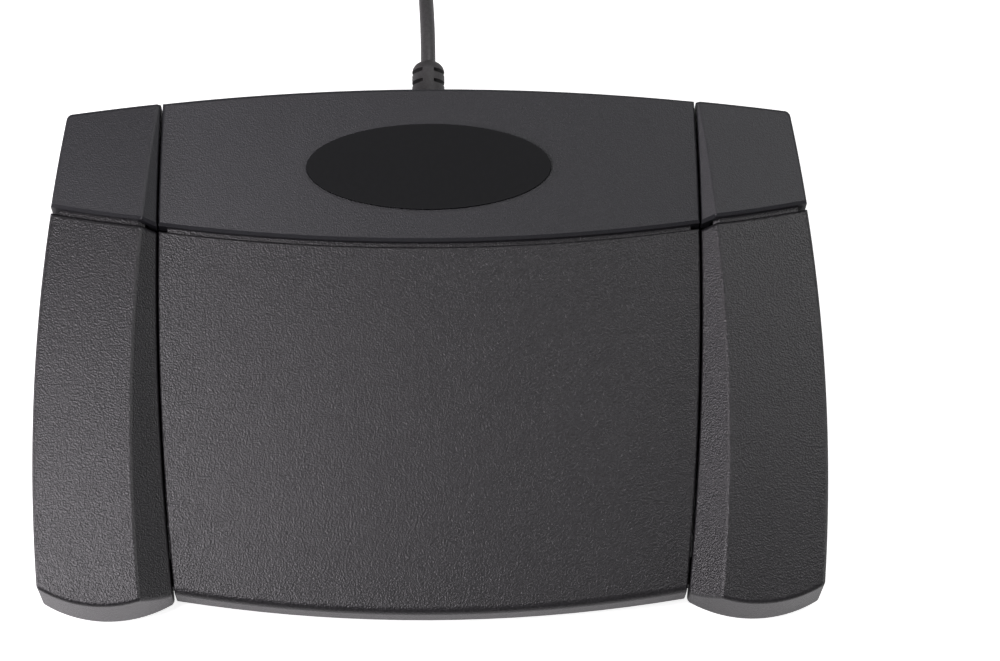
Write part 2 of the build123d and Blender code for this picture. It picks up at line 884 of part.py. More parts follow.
# Base tray: floor, rim, hinge posts, screw posts, board posts, spring spigots, clamp saddle
def standing_boss(x, y, radius, top):
    """Round post from the tray's floor up to a level."""
    with BuildPart() as post:
        with BuildSketch(Plane.XY.offset(tray_top)):
            with Locations((x, y)):
                Circle(radius)
        extrude(amount=top - tray_top)
    return post.part


def hinge_post(x):
    """Tapered upright of the tray that carries the hinge rod."""
    with BuildPart() as post:
        with BuildSketch(Plane.YZ.offset(x - post_thickness / 2)):
            with BuildLine():
                Polyline(
                    (hinge_y - post_foot / 2, tray_top),
                    (hinge_y - knuckle_radius, hinge_z),
                    (hinge_y + knuckle_radius, hinge_z),
                    (hinge_y + post_foot / 2, tray_top),
                    close=True,
                )
            make_face()
            with Locations((hinge_y, hinge_z)):
                Circle(knuckle_radius)
                Circle(rod_radius + post_bore_clearance, mode=Mode.SUBTRACT)
        extrude(amount=post_thickness)
    return post.part


housing_screw_places = [
    (-cap_boss_x, cap_boss_y),
    (-cover_boss_x, cover_boss_y),
    (cover_boss_x, cover_boss_y),
    (cap_boss_x, cap_boss_y),
]
board_screw_places = [
    (-board_screw_x, board_screw_y),
    (-board_screw_center_x, board_screw_center_y),
    (board_screw_center_x, board_screw_center_y),
    (board_screw_x, board_screw_y),
]
spring_xs = (-side_spring_x, -center_spring_x, center_spring_x, side_spring_x)
stop_places = [(x, stop_y) for x in (-side_stop_x, -center_stop_x, center_stop_x, side_stop_x)]
foot_places = [
    (sign * (half_width - inset[0]), end * (half_depth - inset[1]))
    for end, inset in ((-1, foot_front_inset), (1, foot_rear_inset))
    for sign in (-1, 1)
]
ballast_rear = spring_y - ballast_spring_margin
ballast_front = stop_y + ballast_stop_margin
ballast_center_y = (ballast_rear + ballast_front) / 2
ballast_width = 2 * (half_width - ballast_inset)
ballast_pin_x = ballast_width / 2 - ballast_pin_inset
ballast_pins = [(-ballast_pin_x, ballast_center_y), (ballast_pin_x, ballast_center_y)]

with BuildPart() as base_tray:
    extrude(housing_plan(tray_inset, foot_height), amount=tray_floor, dir=(0, 0, 1))
    extrude(housing_plan(tray_inset, tray_top), amount=tray_rim_height, dir=(0, 0, 1))
    extrude(
        housing_plan(tray_inset + tray_rim_width, tray_top),
        amount=tray_rim_height,
        dir=(0, 0, 1),
        mode=Mode.SUBTRACT,
    )
    for x in post_places:
        add(hinge_post(x))
        add(hinge_post(-x))
    for x, y in housing_screw_places:
        add(standing_boss(x, y, boss_foot_radius, boss_joint_z))
    for x, y in board_screw_places:
        add(standing_boss(x, y, board_post_radius, board_z))
    for x in spring_xs:
        add(standing_boss(x, spring_y, spigot_radius, tray_top + spring_spigot_height))
    for x, y in ballast_pins:
        add(standing_boss(x, y, ballast_pin_radius, tray_top + ballast_thickness))
    for y in [hinge_y - distance for distance in cross_rib_distances]:
        with BuildSketch(Plane.XY.offset(tray_top)):
            with Locations((0, y)):
                Rectangle(2 * side_outer_lug_x, cross_rib_width)
        extrude(amount=cross_rib_height)
    with BuildSketch(Plane.XY.offset(tray_top)):
        with Locations((0, clamp_y)):
            Rectangle(*clamp_saddle)
    extrude(amount=cord_exit_z - tray_top)
    with BuildSketch(Plane.XZ.offset(-clamp_y)):
        with Locations((0, cord_exit_z)):
            Circle(cord_radius + post_bore_clearance)
    extrude(amount=clamp_saddle[1], both=True, mode=Mode.SUBTRACT)
    with BuildSketch(Plane.XY.offset(cord_exit_z)):
        with Locations((-clamp_screw_x, clamp_y), (clamp_screw_x, clamp_y)):
            Circle(board_screw_radius + screw_clearance)
    extrude(amount=-board_screw_length, mode=Mode.SUBTRACT)
    with BuildSketch(Plane.XY.offset(board_z)):
        with Locations(*board_screw_places):
            Circle(board_screw_radius + screw_clearance)
    extrude(amount=-(board_screw_length - board_thickness), mode=Mode.SUBTRACT)
    with BuildSketch(Plane.XY.offset(foot_height)):
        with Locations(*housing_screw_places):
            Circle(counterbore_radius)
    extrude(amount=counterbore_depth, mode=Mode.SUBTRACT)
    with BuildSketch(Plane.XY.offset(foot_height)):
        with Locations(*housing_screw_places):
            Circle(housing_screw_radius + screw_clearance)
    extrude(amount=boss_joint_z, mode=Mode.SUBTRACT)
    with BuildSketch(Plane.XY.offset(foot_height)):
        with Locations(*foot_places):
            Circle(foot_radius + foot_clearance)
    extrude(amount=foot_recess, mode=Mode.SUBTRACT)
base_tray.part.label = "base_tray"

# Ballast plate: steel sheet on the tray's floor under the treadles
with BuildPart() as ballast_plate:
    with BuildSketch(Plane.XY.offset(tray_top)):
        with Locations((0, ballast_center_y)):
            RectangleRounded(ballast_width, ballast_rear - ballast_front, ballast_corner)
        with Locations(*ballast_pins):
            Circle(ballast_pin_radius + foot_clearance, mode=Mode.SUBTRACT)
    extrude(amount=ballast_thickness)
ballast_plate.part.label = "ballast_plate"

with BuildPart() as rubber_feet:
    with BuildSketch(Plane.XY):
        with Locations(*foot_places):
            Circle(foot_radius)
    extrude(amount=foot_height + foot_recess)
    chamfer(rubber_feet.edges().group_by(Axis.Z)[0], foot_recess)
rubber_feet.part.label = "rubber_feet"

with BuildPart() as bump_stops:
    with BuildSketch(Plane.XY.offset(tray_top)):
        with Locations(*stop_places):
            Circle(stop_radius)
    extrude(amount=stop_height)
    fillet(bump_stops.edges().group_by(Axis.Z)[-1], foot_recess)
bump_stops.part.label = "bump_stops"

# Hinge rod with a groove near each end, and the rings that hold it
rod_reach = post_places[-1] + post_thickness / 2 + rod_overhang
ring_place = rod_reach - ring_inset - ring_thickness / 2
rod_plane = Plane(origin=(0, hinge_y, hinge_z), x_dir=(0, 1, 0), z_dir=(1, 0, 0))
with BuildPart() as hinge_rod:
    with BuildSketch(rod_plane.offset(-rod_reach)):
        Circle(rod_radius)
    extrude(amount=2 * rod_reach)
    chamfer(hinge_rod.edges().filter_by(GeomType.CIRCLE), rod_end_chamfer)
    for place in (-ring_place, ring_place):
        with BuildSketch(rod_plane.offset(place - ring_thickness / 2 - post_bore_clearance)):
            Circle(rod_radius + overrun)
            Circle(ring_groove_radius, mode=Mode.SUBTRACT)
        extrude(amount=ring_thickness + 2 * post_bore_clearance, mode=Mode.SUBTRACT)
hinge_rod.part.label = "hinge_rod"

with BuildPart() as retaining_rings:
    for place in (-ring_place, ring_place):
        with BuildSketch(rod_plane.offset(place - ring_thickness / 2)):
            Circle(ring_radius)
            Circle(ring_groove_radius + post_bore_clearance, mode=Mode.SUBTRACT)
            with Locations((0, -ring_radius)):
                Rectangle(2 * ring_groove_radius, 2 * ring_radius, mode=Mode.SUBTRACT)
        extrude(amount=ring_thickness)
retaining_rings.part.label = "retaining_rings"


# Springs: coils of half turns, each half turn a tilted half circle that climbs half a pitch
def coil_spring(x):
    """Compression spring that stands on the tray's floor round its spigot."""
    bottom = tray_top + spring_wire / 2 + spring_clearance
    rise = (spring_top_z - tray_top - spring_wire - 2 * spring_clearance) / (2 * spring_turns)
    with BuildPart() as spring:
        with BuildLine() as path:
            for half in range(2 * spring_turns):
                side = 1 if half % 2 == 0 else -1
                z = bottom + half * rise
                ThreePointArc(
                    (x + side * spring_radius, spring_y, z),
                    (x, spring_y + side * spring_radius, z + rise / 2),
                    (x - side * spring_radius, spring_y, z + rise),
                )
        coil = path.wires()[0]
        with BuildSketch(Plane(origin=coil @ 0, z_dir=coil % 0)):
            RegularPolygon(radius=spring_wire / 2, side_count=spring_wire_sides)
        sweep(path=coil)
    return spring.part


with BuildPart() as center_springs:
    add(coil_spring(-center_spring_x))
    add(coil_spring(center_spring_x))
center_springs.part.label = "center_springs"
with BuildPart() as left_spring:
    add(coil_spring(-side_spring_x))
left_spring.part.label = "left_spring"
with BuildPart() as right_spring:
    add(coil_spring(side_spring_x))
right_spring.part.label = "right_spring"

# Circuit board and its parts
switch_xs = {"left": -side_switch_x, "center": 0, "right": side_switch_x}
pin_places = [(x, switch_y + step * switch_pin_pitch) for x in switch_xs.values() for step in (-1, 0, 1)]
with BuildPart() as circuit_board:
    with BuildSketch(Plane.XY.offset(board_z)):
        with Locations((0, board_center_y)):
            RectangleRounded(board_width, board_depth, corner_round)
        with Locations(*board_screw_places):
            Circle(board_screw_radius + screw_clearance, mode=Mode.SUBTRACT)
        with Locations(*pin_places):
            Circle(switch_pin_radius + screw_clearance, mode=Mode.SUBTRACT)
    extrude(amount=board_thickness)
circuit_board.part.label = "circuit_board"

with BuildPart() as switch_terminals:
    with BuildSketch(Plane.XY.offset(board_top)):
        with Locations(*pin_places):
            Circle(switch_pin_radius)
    extrude(amount=-switch_pin_length)
switch_terminals.part.label = "switch_terminals"

with BuildPart() as controller_chip:
    with BuildSketch(Plane.XY.offset(board_top)):
        with Locations((chip_x, board_center_y)):
            Rectangle(chip_size, chip_size)
    extrude(amount=chip_height)
    chamfer(controller_chip.edges().group_by(Axis.Z)[-1], chip_height / 5)
controller_chip.part.label = "controller_chip"

with BuildPart() as board_components:
    with BuildSketch(Plane.XY.offset(board_top)):
        with Locations((capacitor_x, board_center_y)):
            Circle(capacitor_radius)
    extrude(amount=capacitor_height)
    with BuildSketch(Plane.XY.offset(board_top)):
        with Locations((crystal_x, board_center_y)):
            SlotOverall(chip_size, chip_size / 2, rotation=90)
    extrude(amount=2 * chip_height)
board_components.part.label = "board_components"

board_rear = board_center_y + board_depth / 2
with BuildPart() as board_connector:
    with BuildSketch(Plane.XY.offset(board_top)):
        with Locations((connector_x, board_rear - connector_size[1] / 2)):
            Rectangle(connector_size[0], connector_size[1])
    extrude(amount=connector_size[2])
    fillet(board_connector.edges().filter_by(Axis.Z), foot_recess)
board_connector.part.label = "board_connector"


def pan_screws(places, seat, radius, length, head_radius, head):
    """Screws that point down, their pan heads on a seat."""
    with BuildPart() as screws:
        with BuildSketch(Plane.XY.offset(seat)):
            with Locations(*places):
                Circle(radius)
        extrude(amount=-length)
        with BuildSketch(Plane.XY.offset(seat)):
            with Locations(*places):
                Circle(head_radius)
        extrude(amount=head)
        fillet(screws.edges().group_by(Axis.Z)[-1], head / 2)
    return screws.part


with BuildPart() as board_screws:
    add(
        pan_screws(
            board_screw_places,
            board_top,
            board_screw_radius,
            board_screw_length - screw_clearance,
            board_screw_head_radius,
            board_screw_head,
        )
    )
board_screws.part.label = "board_screws"

with BuildPart() as housing_screws:
    head_seat = foot_height + counterbore_depth
    with BuildSketch(Plane.XY.offset(head_seat)):
        with Locations(*housing_screw_places):
            Circle(housing_screw_radius)
    extrude(amount=housing_screw_length)
    with BuildSketch(Plane.XY.offset(head_seat)):
        with Locations(*housing_screw_places):
            Circle(housing_screw_head_radius)
    extrude(amount=-housing_screw_head)
    fillet(housing_screws.edges().group_by(Axis.Z)[0], housing_screw_head / 2)
housing_screws.part.label = "housing_screws"

# Microswitches: one under each treadle, its plunger in a square guide
switches = {}
plungers = {}
for side, x in switch_xs.items():
    with BuildPart() as switch:
        with BuildSketch(Plane.XY.offset(board_top)):
            with Locations((x, switch_y)):
                Rectangle(switch_width, switch_length)
        extrude(amount=switch_height)
        fillet(switch.edges().filter_by(Axis.Z), foot_recess)
        with BuildSketch(Plane.YZ.offset(x)):
            with Locations(
                (switch_y - switch_hole_pitch / 2, board_top + switch_hole_height),
                (switch_y + switch_hole_pitch / 2, board_top + switch_hole_height),
            ):
                Circle(switch_hole_radius)
        extrude(amount=switch_width, both=True, mode=Mode.SUBTRACT)
        with BuildSketch(Plane.XY.offset(switch_top)):
            with Locations((x, switch_y)):
                Rectangle(plunger_size + 2 * plunger_clearance, plunger_size + 2 * plunger_clearance)
        extrude(amount=-(plunger_depth + plunger_rise), mode=Mode.SUBTRACT)
    switch.part.label = f"{side}_switch"
    switches[side] = switch
    with BuildPart() as plunger:
        with BuildSketch(Plane.XY.offset(switch_top - plunger_depth)):
            with Locations((x, switch_y)):
                Rectangle(plunger_size, plunger_size)
        extrude(amount=plunger_depth + plunger_rise)
        fillet(plunger.edges().group_by(Axis.Z)[-1], plunger_size / 5)
    plunger.part.label = f"{side}_plunger"
    plungers[side] = plunger

# Strain relief: flange inside the rear wall, body and dome outside, slots round a core
relief_root = half_depth - wall - relief_flange_thickness - relief_wall_margin
relief_tip = half_depth + relief_length
with BuildPart() as strain_relief:
    with BuildSketch(Plane.XZ.offset(-relief_root)):
        with Locations((0, cord_exit_z)):
            Circle(relief_flange_radius)
    extrude(amount=-relief_flange_thickness)
    with BuildSketch(Plane.XZ.offset(-relief_root)):
        with Locations((0, cord_exit_z)):
            Circle(relief_radius)
    extrude(amount=-(relief_tip - relief_root))
    fillet(strain_relief.edges().filter_by(GeomType.CIRCLE).sort_by(Axis.Y)[-1], relief_dome)
    for y in [half_depth + distance for distance in relief_slot_distances]:
        with BuildSketch(Plane.XZ.offset(-(y - relief_slot / 2))):
            with Locations((0, cord_exit_z)):
                Circle(relief_radius + overrun)
                Circle(relief_core_radius, mode=Mode.SUBTRACT)
                Rectangle(relief_spine_width, 2 * (relief_radius + overrun), mode=Mode.SUBTRACT)
        extrude(amount=-relief_slot, mode=Mode.SUBTRACT)
strain_relief.part.label = "strain_relief"

with BuildPart() as cable_clamp:
    with BuildSketch(Plane.XY.offset(cord_exit_z)):
        with Locations((0, clamp_y)):
            RectangleRounded(clamp_size[0], clamp_size[1], corner_round)
        with Locations((-clamp_screw_x, clamp_y), (clamp_screw_x, clamp_y)):
            Circle(board_screw_radius + screw_clearance, mode=Mode.SUBTRACT)
    extrude(amount=clamp_size[2])
    with BuildSketch(Plane.XZ.offset(-clamp_y)):
        with Locations((0, cord_exit_z)):
            Circle(cord_radius + post_bore_clearance)
    extrude(amount=clamp_size[1], both=True, mode=Mode.SUBTRACT)
cable_clamp.part.label = "cable_clamp"

with BuildPart() as clamp_screws:
    add(
        pan_screws(
            [(-clamp_screw_x, clamp_y), (clamp_screw_x, clamp_y)],
            cord_exit_z + clamp_size[2],
            board_screw_radius,
            clamp_size[2] + board_screw_length - screw_clearance,
            board_screw_head_radius,
            board_screw_head,
        )
    )
clamp_screws.part.label = "clamp_screws"


def arc_radii(points, name):
    """The largest radius that each corner of a cord's route takes, printed for the record."""
    radii = []
    for before, corner, after in zip(points, points[1:], points[2:]):
        arriving = Vector(*corner) - Vector(*before)
        leaving = Vector(*after) - Vector(*corner)
        half_turn = math.radians(arriving.get_angle(leaving)) / 2
        shorter = min(arriving.length, leaving.length)
        radii.append(corner_share * shorter / math.tan(half_turn))
    print(name, "radii", [round(radius, 1) for radius in radii])
    return radii


def cord_tube(points, name):
    """Tube of straight runs and tangent arcs along a cord's route."""
    with BuildPart() as tube:
        with BuildLine() as path:
            FilletPolyline(*points, radius=arc_radii(points, name))
        route = path.wires()[0]
        with BuildSketch(Plane(origin=route @ 0, z_dir=route % 0)):
            Circle(cord_radius)
        sweep(path=route)
    expected = math.pi * cord_radius**2 * route.length
    print(name, "length", round(route.length, 1), "volume share", round(tube.part.volume / expected, 4))
    return tube.part


# Cable tail: from the strain relief through the clamp to the connector on the board
connector_middle = board_top + connector_size[2] / 2
tail_route = [
    (0, relief_root, cord_exit_z),
    (0, tail_bend_y, cord_exit_z),
    (connector_x, tail_bend_y - clamp_saddle[1], connector_middle),
    (connector_x, board_rear, connector_middle),
]
with BuildPart() as cable_tail:
    add(cord_tube(tail_route, "cable_tail"))
cable_tail.part.label = "cable_tail"

# USB cord: out of the relief, down to the floor and back to the coil
coil_start_x = coil_center[0] + coil_outer_radius
cord_lead = 2 * cord_radius
cord_route = [
    (0, relief_tip, cord_exit_z),
    *[(x, half_depth + y, z) for x, y, z in cord_points],
    (coil_start_x, coil_center[1] - cord_lead, cord_radius),
]
with BuildPart() as usb_cord:
    add(cord_tube(cord_route, "usb_cord"))
usb_cord.part.label = "usb_cord"


def coil_points():
    """Ends of the coil's half turns: layers spiral in and out, and climb where they reverse."""
    radius = coil_outer_radius
    z = cord_radius
    ends = [(radius, z)]
    for layer in range(coil_layers):
        inward = layer % 2 == 0
        halves = coil_half_turns + (1 if layer == coil_layers - 1 else 0)
        innermost = halves - 1 if inward else 0
        for half in range(halves):
            step = coil_pitch / 2 + (coil_reversal_step if half == innermost else 0)
            radius += -step if inward else step
            ends.append((radius, z))
        if layer < coil_layers - 1:
            z += coil_layer
            ends.append((radius, z))
    center_x, center_y = coil_center
    return [
        (center_x + (reach if place % 2 == 0 else -reach), center_y, height)
        for place, (reach, height) in enumerate(ends)
    ]


coil_ends = coil_points()
coil_exit = coil_ends[-1]
with BuildPart() as usb_cord_coil:
    with BuildLine() as coil_path:
        Line((coil_ends[0][0], coil_ends[0][1] - cord_lead, coil_ends[0][2]), coil_ends[0])
        for place, (start, end) in enumerate(zip(coil_ends, coil_ends[1:])):
            across = math.hypot(end[0] - start[0], end[2] - start[2])
            bulge = across / 2 if place % 2 == 0 else -across / 2
            ThreePointArc(
                start,
                ((start[0] + end[0]) / 2, start[1] + bulge, (start[2] + end[2]) / 2),
                end,
            )
        Line(coil_exit, (coil_exit[0], coil_exit[1] + cord_lead, coil_exit[2]))
    coil_route = coil_path.wires()[0]
    with BuildSketch(Plane(origin=coil_route @ 0, z_dir=coil_route % 0)):
        RegularPolygon(radius=cord_radius, side_count=cord_sides)
    sweep(path=coil_route)
usb_cord_coil.part.label = "usb_cord_coil"


def least_gap(path, spacing, diameter):
    """Smallest gap of a coiled tube to itself, measured on points along its path."""
    count = int(path.length / spacing)
    points = [path.position_at(step / count) for step in range(count + 1)]
    near = math.ceil(2 * diameter * math.pi / spacing)
    gaps = [
        (points[first] - points[second]).length
        for first in range(len(points))
        for second in range(first + near, len(points))
    ]
    return min(gaps) - diameter


print("coil length", round(coil_route.length, 1))
print("coil least gap", round(least_gap(coil_route, cord_lead / 2, 2 * cord_radius), 2))

# Cord tail: off the top of the coil, down behind it and into the plug
tail_end = (plug_tail_x, plug_y, plug_thickness / 2)
plug_route = [
    (coil_exit[0], coil_exit[1] + cord_lead, coil_exit[2]),
    (coil_exit[0], coil_exit[1] + coil_exit_run, coil_exit[2]),
    *[(x, half_depth + y, z) for x, y, z in plug_points],
    tail_end,
]
with BuildPart() as usb_cord_tail:
    add(cord_tube(plug_route, "usb_cord_tail"))
usb_cord_tail.part.label = "usb_cord_tail"

# Plug: lies flat behind the coil, its tip toward -X
plug_plan = Plane(origin=(plug_tail_x, plug_y, 0), x_dir=(-1, 0, 0), z_dir=(0, 0, 1))


def plug_section(along):
    """Plane square to the plug's axis, at a distance from its cord end."""
    return Plane(origin=(plug_tail_x - along, plug_y, plug_thickness / 2), x_dir=(0, -1, 0), z_dir=(-1, 0, 0))


plug_neck = plug_relief_length + plug_neck_length
plug_front = plug_relief_length + plug_length
plug_tip = plug_front + plug_shell_reach
shell_inner_width = plug_shell_width - 2 * plug_shell_wall
shell_inner_height = plug_shell_height - 2 * plug_shell_wall
with BuildPart() as plug_housing:
    with BuildSketch(plug_plan):
        with BuildLine():
            Polyline(
                (plug_relief_length, 0),
                (plug_relief_length, plug_neck_width / 2),
                (plug_neck, plug_neck_width / 2),
                (plug_neck + plug_taper_length, plug_width / 2),
                (plug_front, plug_width / 2),
                (plug_front, 0),
            )
            mirror(about=Plane.XZ)
        make_face()
    extrude(amount=plug_thickness)
    flat_edges = plug_housing.edges().filter_by(lambda edge: abs((edge % middle_share).Z) < middle_share)
    fillet(flat_edges, plug_corner)
    grip_pitch = plug_grip_length / plug_grip_ribs
    grip_spots = [
        (plug_front - plug_grip_from - grip_pitch * (rib + middle_share), side * plug_width / 2)
        for rib in range(plug_grip_ribs)
        for side in (-1, 1)
    ]
    with BuildSketch(plug_plan):
        with Locations(*grip_spots):
            Rectangle(grip_pitch / 2, 2 * plug_grip_depth)
    extrude(amount=plug_thickness, mode=Mode.SUBTRACT)
    with BuildSketch(plug_plan.offset(plug_thickness)):
        with Locations((plug_front - plug_panel_margin - plug_panel_size[0] / 2, 0)):
            RectangleRounded(plug_panel_size[0], plug_panel_size[1], plug_corner)
    extrude(amount=-plug_panel_depth, mode=Mode.SUBTRACT)
    with BuildSketch(plug_plan.offset(plug_thickness)):
        with Locations((plug_front - plug_dimple_from_front, 0)):
            Circle(plug_dimple_radius)
    extrude(amount=-2 * plug_panel_depth, mode=Mode.SUBTRACT)
    with BuildSketch(plug_section(plug_front)):
        RectangleRounded(plug_shell_width + 2 * plug_fit, plug_shell_height + 2 * plug_fit, plug_shell_corner)
    extrude(amount=-plug_shell_root - plug_fit, mode=Mode.SUBTRACT)
plug_housing.part.label = "plug_housing"

with BuildPart() as plug_relief:
    with BuildSketch(plug_section(0)):
        Circle(plug_relief_tip_radius)
    with BuildSketch(plug_section(plug_relief_length)):
        Circle(plug_relief_radius)
    loft()
    ring_pitch = plug_relief_length / plug_relief_rings
    for ring in range(plug_relief_rings):
        with BuildSketch(plug_section(ring_pitch * (ring + middle_share))):
            Circle(plug_relief_radius + overrun)
            Circle(cord_radius, mode=Mode.SUBTRACT)
            Rectangle(plug_relief_spine, 2 * (plug_relief_radius + overrun), mode=Mode.SUBTRACT)
        extrude(amount=relief_slot / 2, both=True, mode=Mode.SUBTRACT)
plug_relief.part.label = "plug_relief"

# Plug's contact end: folded steel shell with two windows, insulating tongue and four contacts
with BuildPart() as plug_shell:
    with BuildSketch(plug_section(plug_front - plug_shell_root)):
        RectangleRounded(plug_shell_width, plug_shell_height, plug_shell_corner)
        RectangleRounded(shell_inner_width, shell_inner_height, plug_shell_corner / 2, mode=Mode.SUBTRACT)
    extrude(amount=plug_shell_root + plug_shell_reach)
    with BuildSketch(plug_plan.offset(plug_thickness / 2)):
        with Locations(
            (plug_tip - plug_window_from_tip, -plug_window_x),
            (plug_tip - plug_window_from_tip, plug_window_x),
        ):
            Rectangle(plug_window[1], plug_window[0])
        with Locations((plug_tip - plug_detent_from_tip, 0)):
            SlotOverall(plug_window[0], plug_window[1] / 2, rotation=90)
    extrude(amount=plug_thickness, mode=Mode.SUBTRACT)
plug_shell.part.label = "plug_shell"

tongue_low = (plug_thickness - shell_inner_height) / 2 + plug_fit
with BuildPart() as plug_tongue:
    with BuildSketch(plug_plan.offset(tongue_low)):
        with Locations(((plug_front - plug_shell_root + plug_tip - plug_tongue_setback) / 2, 0)):
            Rectangle(
                plug_shell_root + plug_shell_reach - plug_tongue_setback,
                shell_inner_width - 2 * plug_fit,
            )
    extrude(amount=plug_tongue_thickness)
    chamfer(plug_tongue.edges().filter_by(Axis.Y).sort_by(Axis.X)[0:2], plug_contact_thickness)
    chamfer(plug_tongue.edges().filter_by(Axis.X).group_by(Axis.Z)[0], plug_shell_wall)
plug_tongue.part.label = "plug_tongue"

with BuildPart() as plug_contacts:
    with BuildSketch(plug_plan.offset(tongue_low + plug_tongue_thickness)):
        contact_length = plug_shell_reach - plug_tongue_setback - plug_contact_setback
        contact_middle = plug_front + contact_length / 2
        with Locations(*[(contact_middle, plug_contact_pitch * share) for share in contact_shares]):
            Rectangle(contact_length, plug_contact_width)
    extrude(amount=plug_contact_thickness)
plug_contacts.part.label = "plug_contacts"

pieces = [
    rear_cover, oval_badge, left_rear_cap, right_rear_cap, center_pedal, left_pedal, right_pedal,
    base_tray, ballast_plate, rubber_feet, bump_stops, hinge_rod, retaining_rings,
    center_springs, left_spring, right_spring, circuit_board, switch_terminals, controller_chip,
    board_components, board_connector, board_screws, housing_screws, *switches.values(),
    *plungers.values(), strain_relief, cable_clamp, clamp_screws, cable_tail,
    usb_cord, usb_cord_coil, usb_cord_tail, plug_relief, plug_housing,
    plug_shell, plug_tongue, plug_contacts,
]
for piece in pieces:
    export_step(piece.part, f"parts/{piece.part.label}.step")
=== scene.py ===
"""A foot switch with three treadles: finishes, cord, fasteners, springs, board details, light and camera."""

import logging
import math
from dataclasses import dataclass
from enum import Enum

import bmesh
import bpy
from mathutils import Matrix, Vector


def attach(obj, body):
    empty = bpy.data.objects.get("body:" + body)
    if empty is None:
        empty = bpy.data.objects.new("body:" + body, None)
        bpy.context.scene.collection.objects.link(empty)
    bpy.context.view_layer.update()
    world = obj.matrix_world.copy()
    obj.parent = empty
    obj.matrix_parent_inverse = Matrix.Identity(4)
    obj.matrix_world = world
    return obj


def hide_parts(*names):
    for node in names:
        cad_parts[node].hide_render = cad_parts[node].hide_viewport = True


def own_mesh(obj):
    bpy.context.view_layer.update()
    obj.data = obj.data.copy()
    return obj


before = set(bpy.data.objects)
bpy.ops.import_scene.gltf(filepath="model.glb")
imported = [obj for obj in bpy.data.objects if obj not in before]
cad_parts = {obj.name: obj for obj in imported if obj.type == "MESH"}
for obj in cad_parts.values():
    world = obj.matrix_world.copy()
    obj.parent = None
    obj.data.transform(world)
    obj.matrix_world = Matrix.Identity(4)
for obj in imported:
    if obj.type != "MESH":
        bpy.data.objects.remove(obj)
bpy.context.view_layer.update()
MM = 0.001
LOG = logging.getLogger("foot_switch")

# What all finishes share: scales in cells per metre, an edge as the stretch of a pattern that is spread out.
NOISE_ROUGHNESS = 0.55
CLOUD_SCALE, CLOUD_EDGE = 26.0, (0.3, 0.7)
SPECK_EDGE = (0.38, 0.62)
GLOSS_SCALE, GLOSS_EDGE, GLOSS_SPREAD, GLOSS_LEAST = 60.0, (0.3, 0.7), 0.05, 0.02
DRAWN_STRETCH = 24.0
CELL_SMOOTHNESS, CELL_SHARE = 0.6, 0.8
BUMP_STRENGTH = 0.9
COAT_ROUGHNESS = 0.12
# Edge mask settings. The tint lightens the colour of edges, partly as rubbed wear and partly as a painted
# highlight along rounded rims.
WEAR_RADIUS, EDGE_WEAR_AND_HIGHLIGHT_RAMP, EDGE_WEAR_AND_HIGHLIGHT_TINT, WEAR_GLOSS = 0.7 * MM, (0.995, 0.90), 1.1, 0.7
TRACK_SCALE, TRACK_WAVER, TRACK_EDGE, TRACK_TINT = 95.0, 1.6, (0.80, 0.86), 1.4
PATCH_SCALE, PATCH_EDGE = 42.0, (0.50, 0.52)
BLOCK_SOFTNESS = 0.12

Color = tuple[float, float, float]
Triple = tuple[float, float, float]


class Grain(Enum):
    """How the fine relief of a surface is laid out."""

    PEBBLE = "pebble"
    SATIN = "satin"
    DRAWN = "drawn"
    TRACES = "traces"


class Side(Enum):
    """The three treadles."""

    LEFT = "left"
    CENTER = "center"
    RIGHT = "right"


class Bench:
    """Adds and joins the shader nodes of one material."""

    def __init__(self, name: str) -> None:
        """Starts an empty material.

        Args:
            name: The material's name.
        """
        self.material = bpy.data.materials.new(name)
        self.material.use_nodes = True
        self.tree = self.material.node_tree
        self.shader = self.tree.nodes["Principled BSDF"]

    def add(self, kind: str, settings: dict | None = None, inputs: dict | None = None) -> bpy.types.Node:
        """Adds one node.

        Args:
            kind: The node's type name.
            settings: Values of the node's own properties.
            inputs: Values of its sockets, by name.

        Returns:
            The new node.
        """
        node = self.tree.nodes.new(kind)
        for key, value in (settings or {}).items():
            setattr(node, key, value)
        for key, value in (inputs or {}).items():
            node.inputs[key].default_value = value
        return node

    def join(self, source: bpy.types.NodeSocket, target: bpy.types.NodeSocket) -> None:
        """Links one socket to another."""
        self.tree.links.new(source, target)

    def noise(self, place: bpy.types.NodeSocket, scale: float, detail: float) -> bpy.types.NodeSocket:
        """A noise pattern.

        Args:
            place: The coordinates it reads.
            scale: Cells per metre.
            detail: How many finer layers it has.

        Returns:
            The pattern's value socket.
        """
        node = self.add(
            "ShaderNodeTexNoise", inputs={"Scale": scale, "Detail": detail, "Roughness": NOISE_ROUGHNESS}
        )
        self.join(place, node.inputs["Vector"])
        return node.outputs["Fac"]

    def spread(
        self,
        value: bpy.types.NodeSocket,
        edge: tuple[float, float],
        to: tuple[float, float] = (0.0, 1.0),
    ) -> bpy.types.NodeSocket:
        """Maps a stretch of values to another.

        Args:
            value: The socket to map.
            edge: Where the stretch starts and ends.
            to: The two values it maps to.

        Returns:
            The mapped socket.
        """
        node = self.add(
            "ShaderNodeMapRange",
            inputs={"From Min": edge[0], "From Max": edge[1], "To Min": to[0], "To Max": to[1]},
        )
        self.join(value, node.inputs["Value"])
        return node.outputs["Result"]

    def blend(
        self,
        share: bpy.types.NodeSocket,
        first: Color | bpy.types.NodeSocket,
        second: Color | bpy.types.NodeSocket,
    ) -> bpy.types.NodeSocket:
        """Mixes two colours.

        Args:
            share: The socket that says how much of the second shows.
            first: A colour or a colour socket.
            second: A colour or a colour socket.

        Returns:
            The mixed colour's socket.
        """
        node = self.add("ShaderNodeMix", settings={"data_type": "RGBA"})
        self.join(share, node.inputs[0])
        for socket, color in ((node.inputs[6], first), (node.inputs[7], second)):
            if isinstance(color, tuple):
                socket.default_value = (*color, 1.0)
            else:
                self.join(color, socket)
        return node.outputs[2]


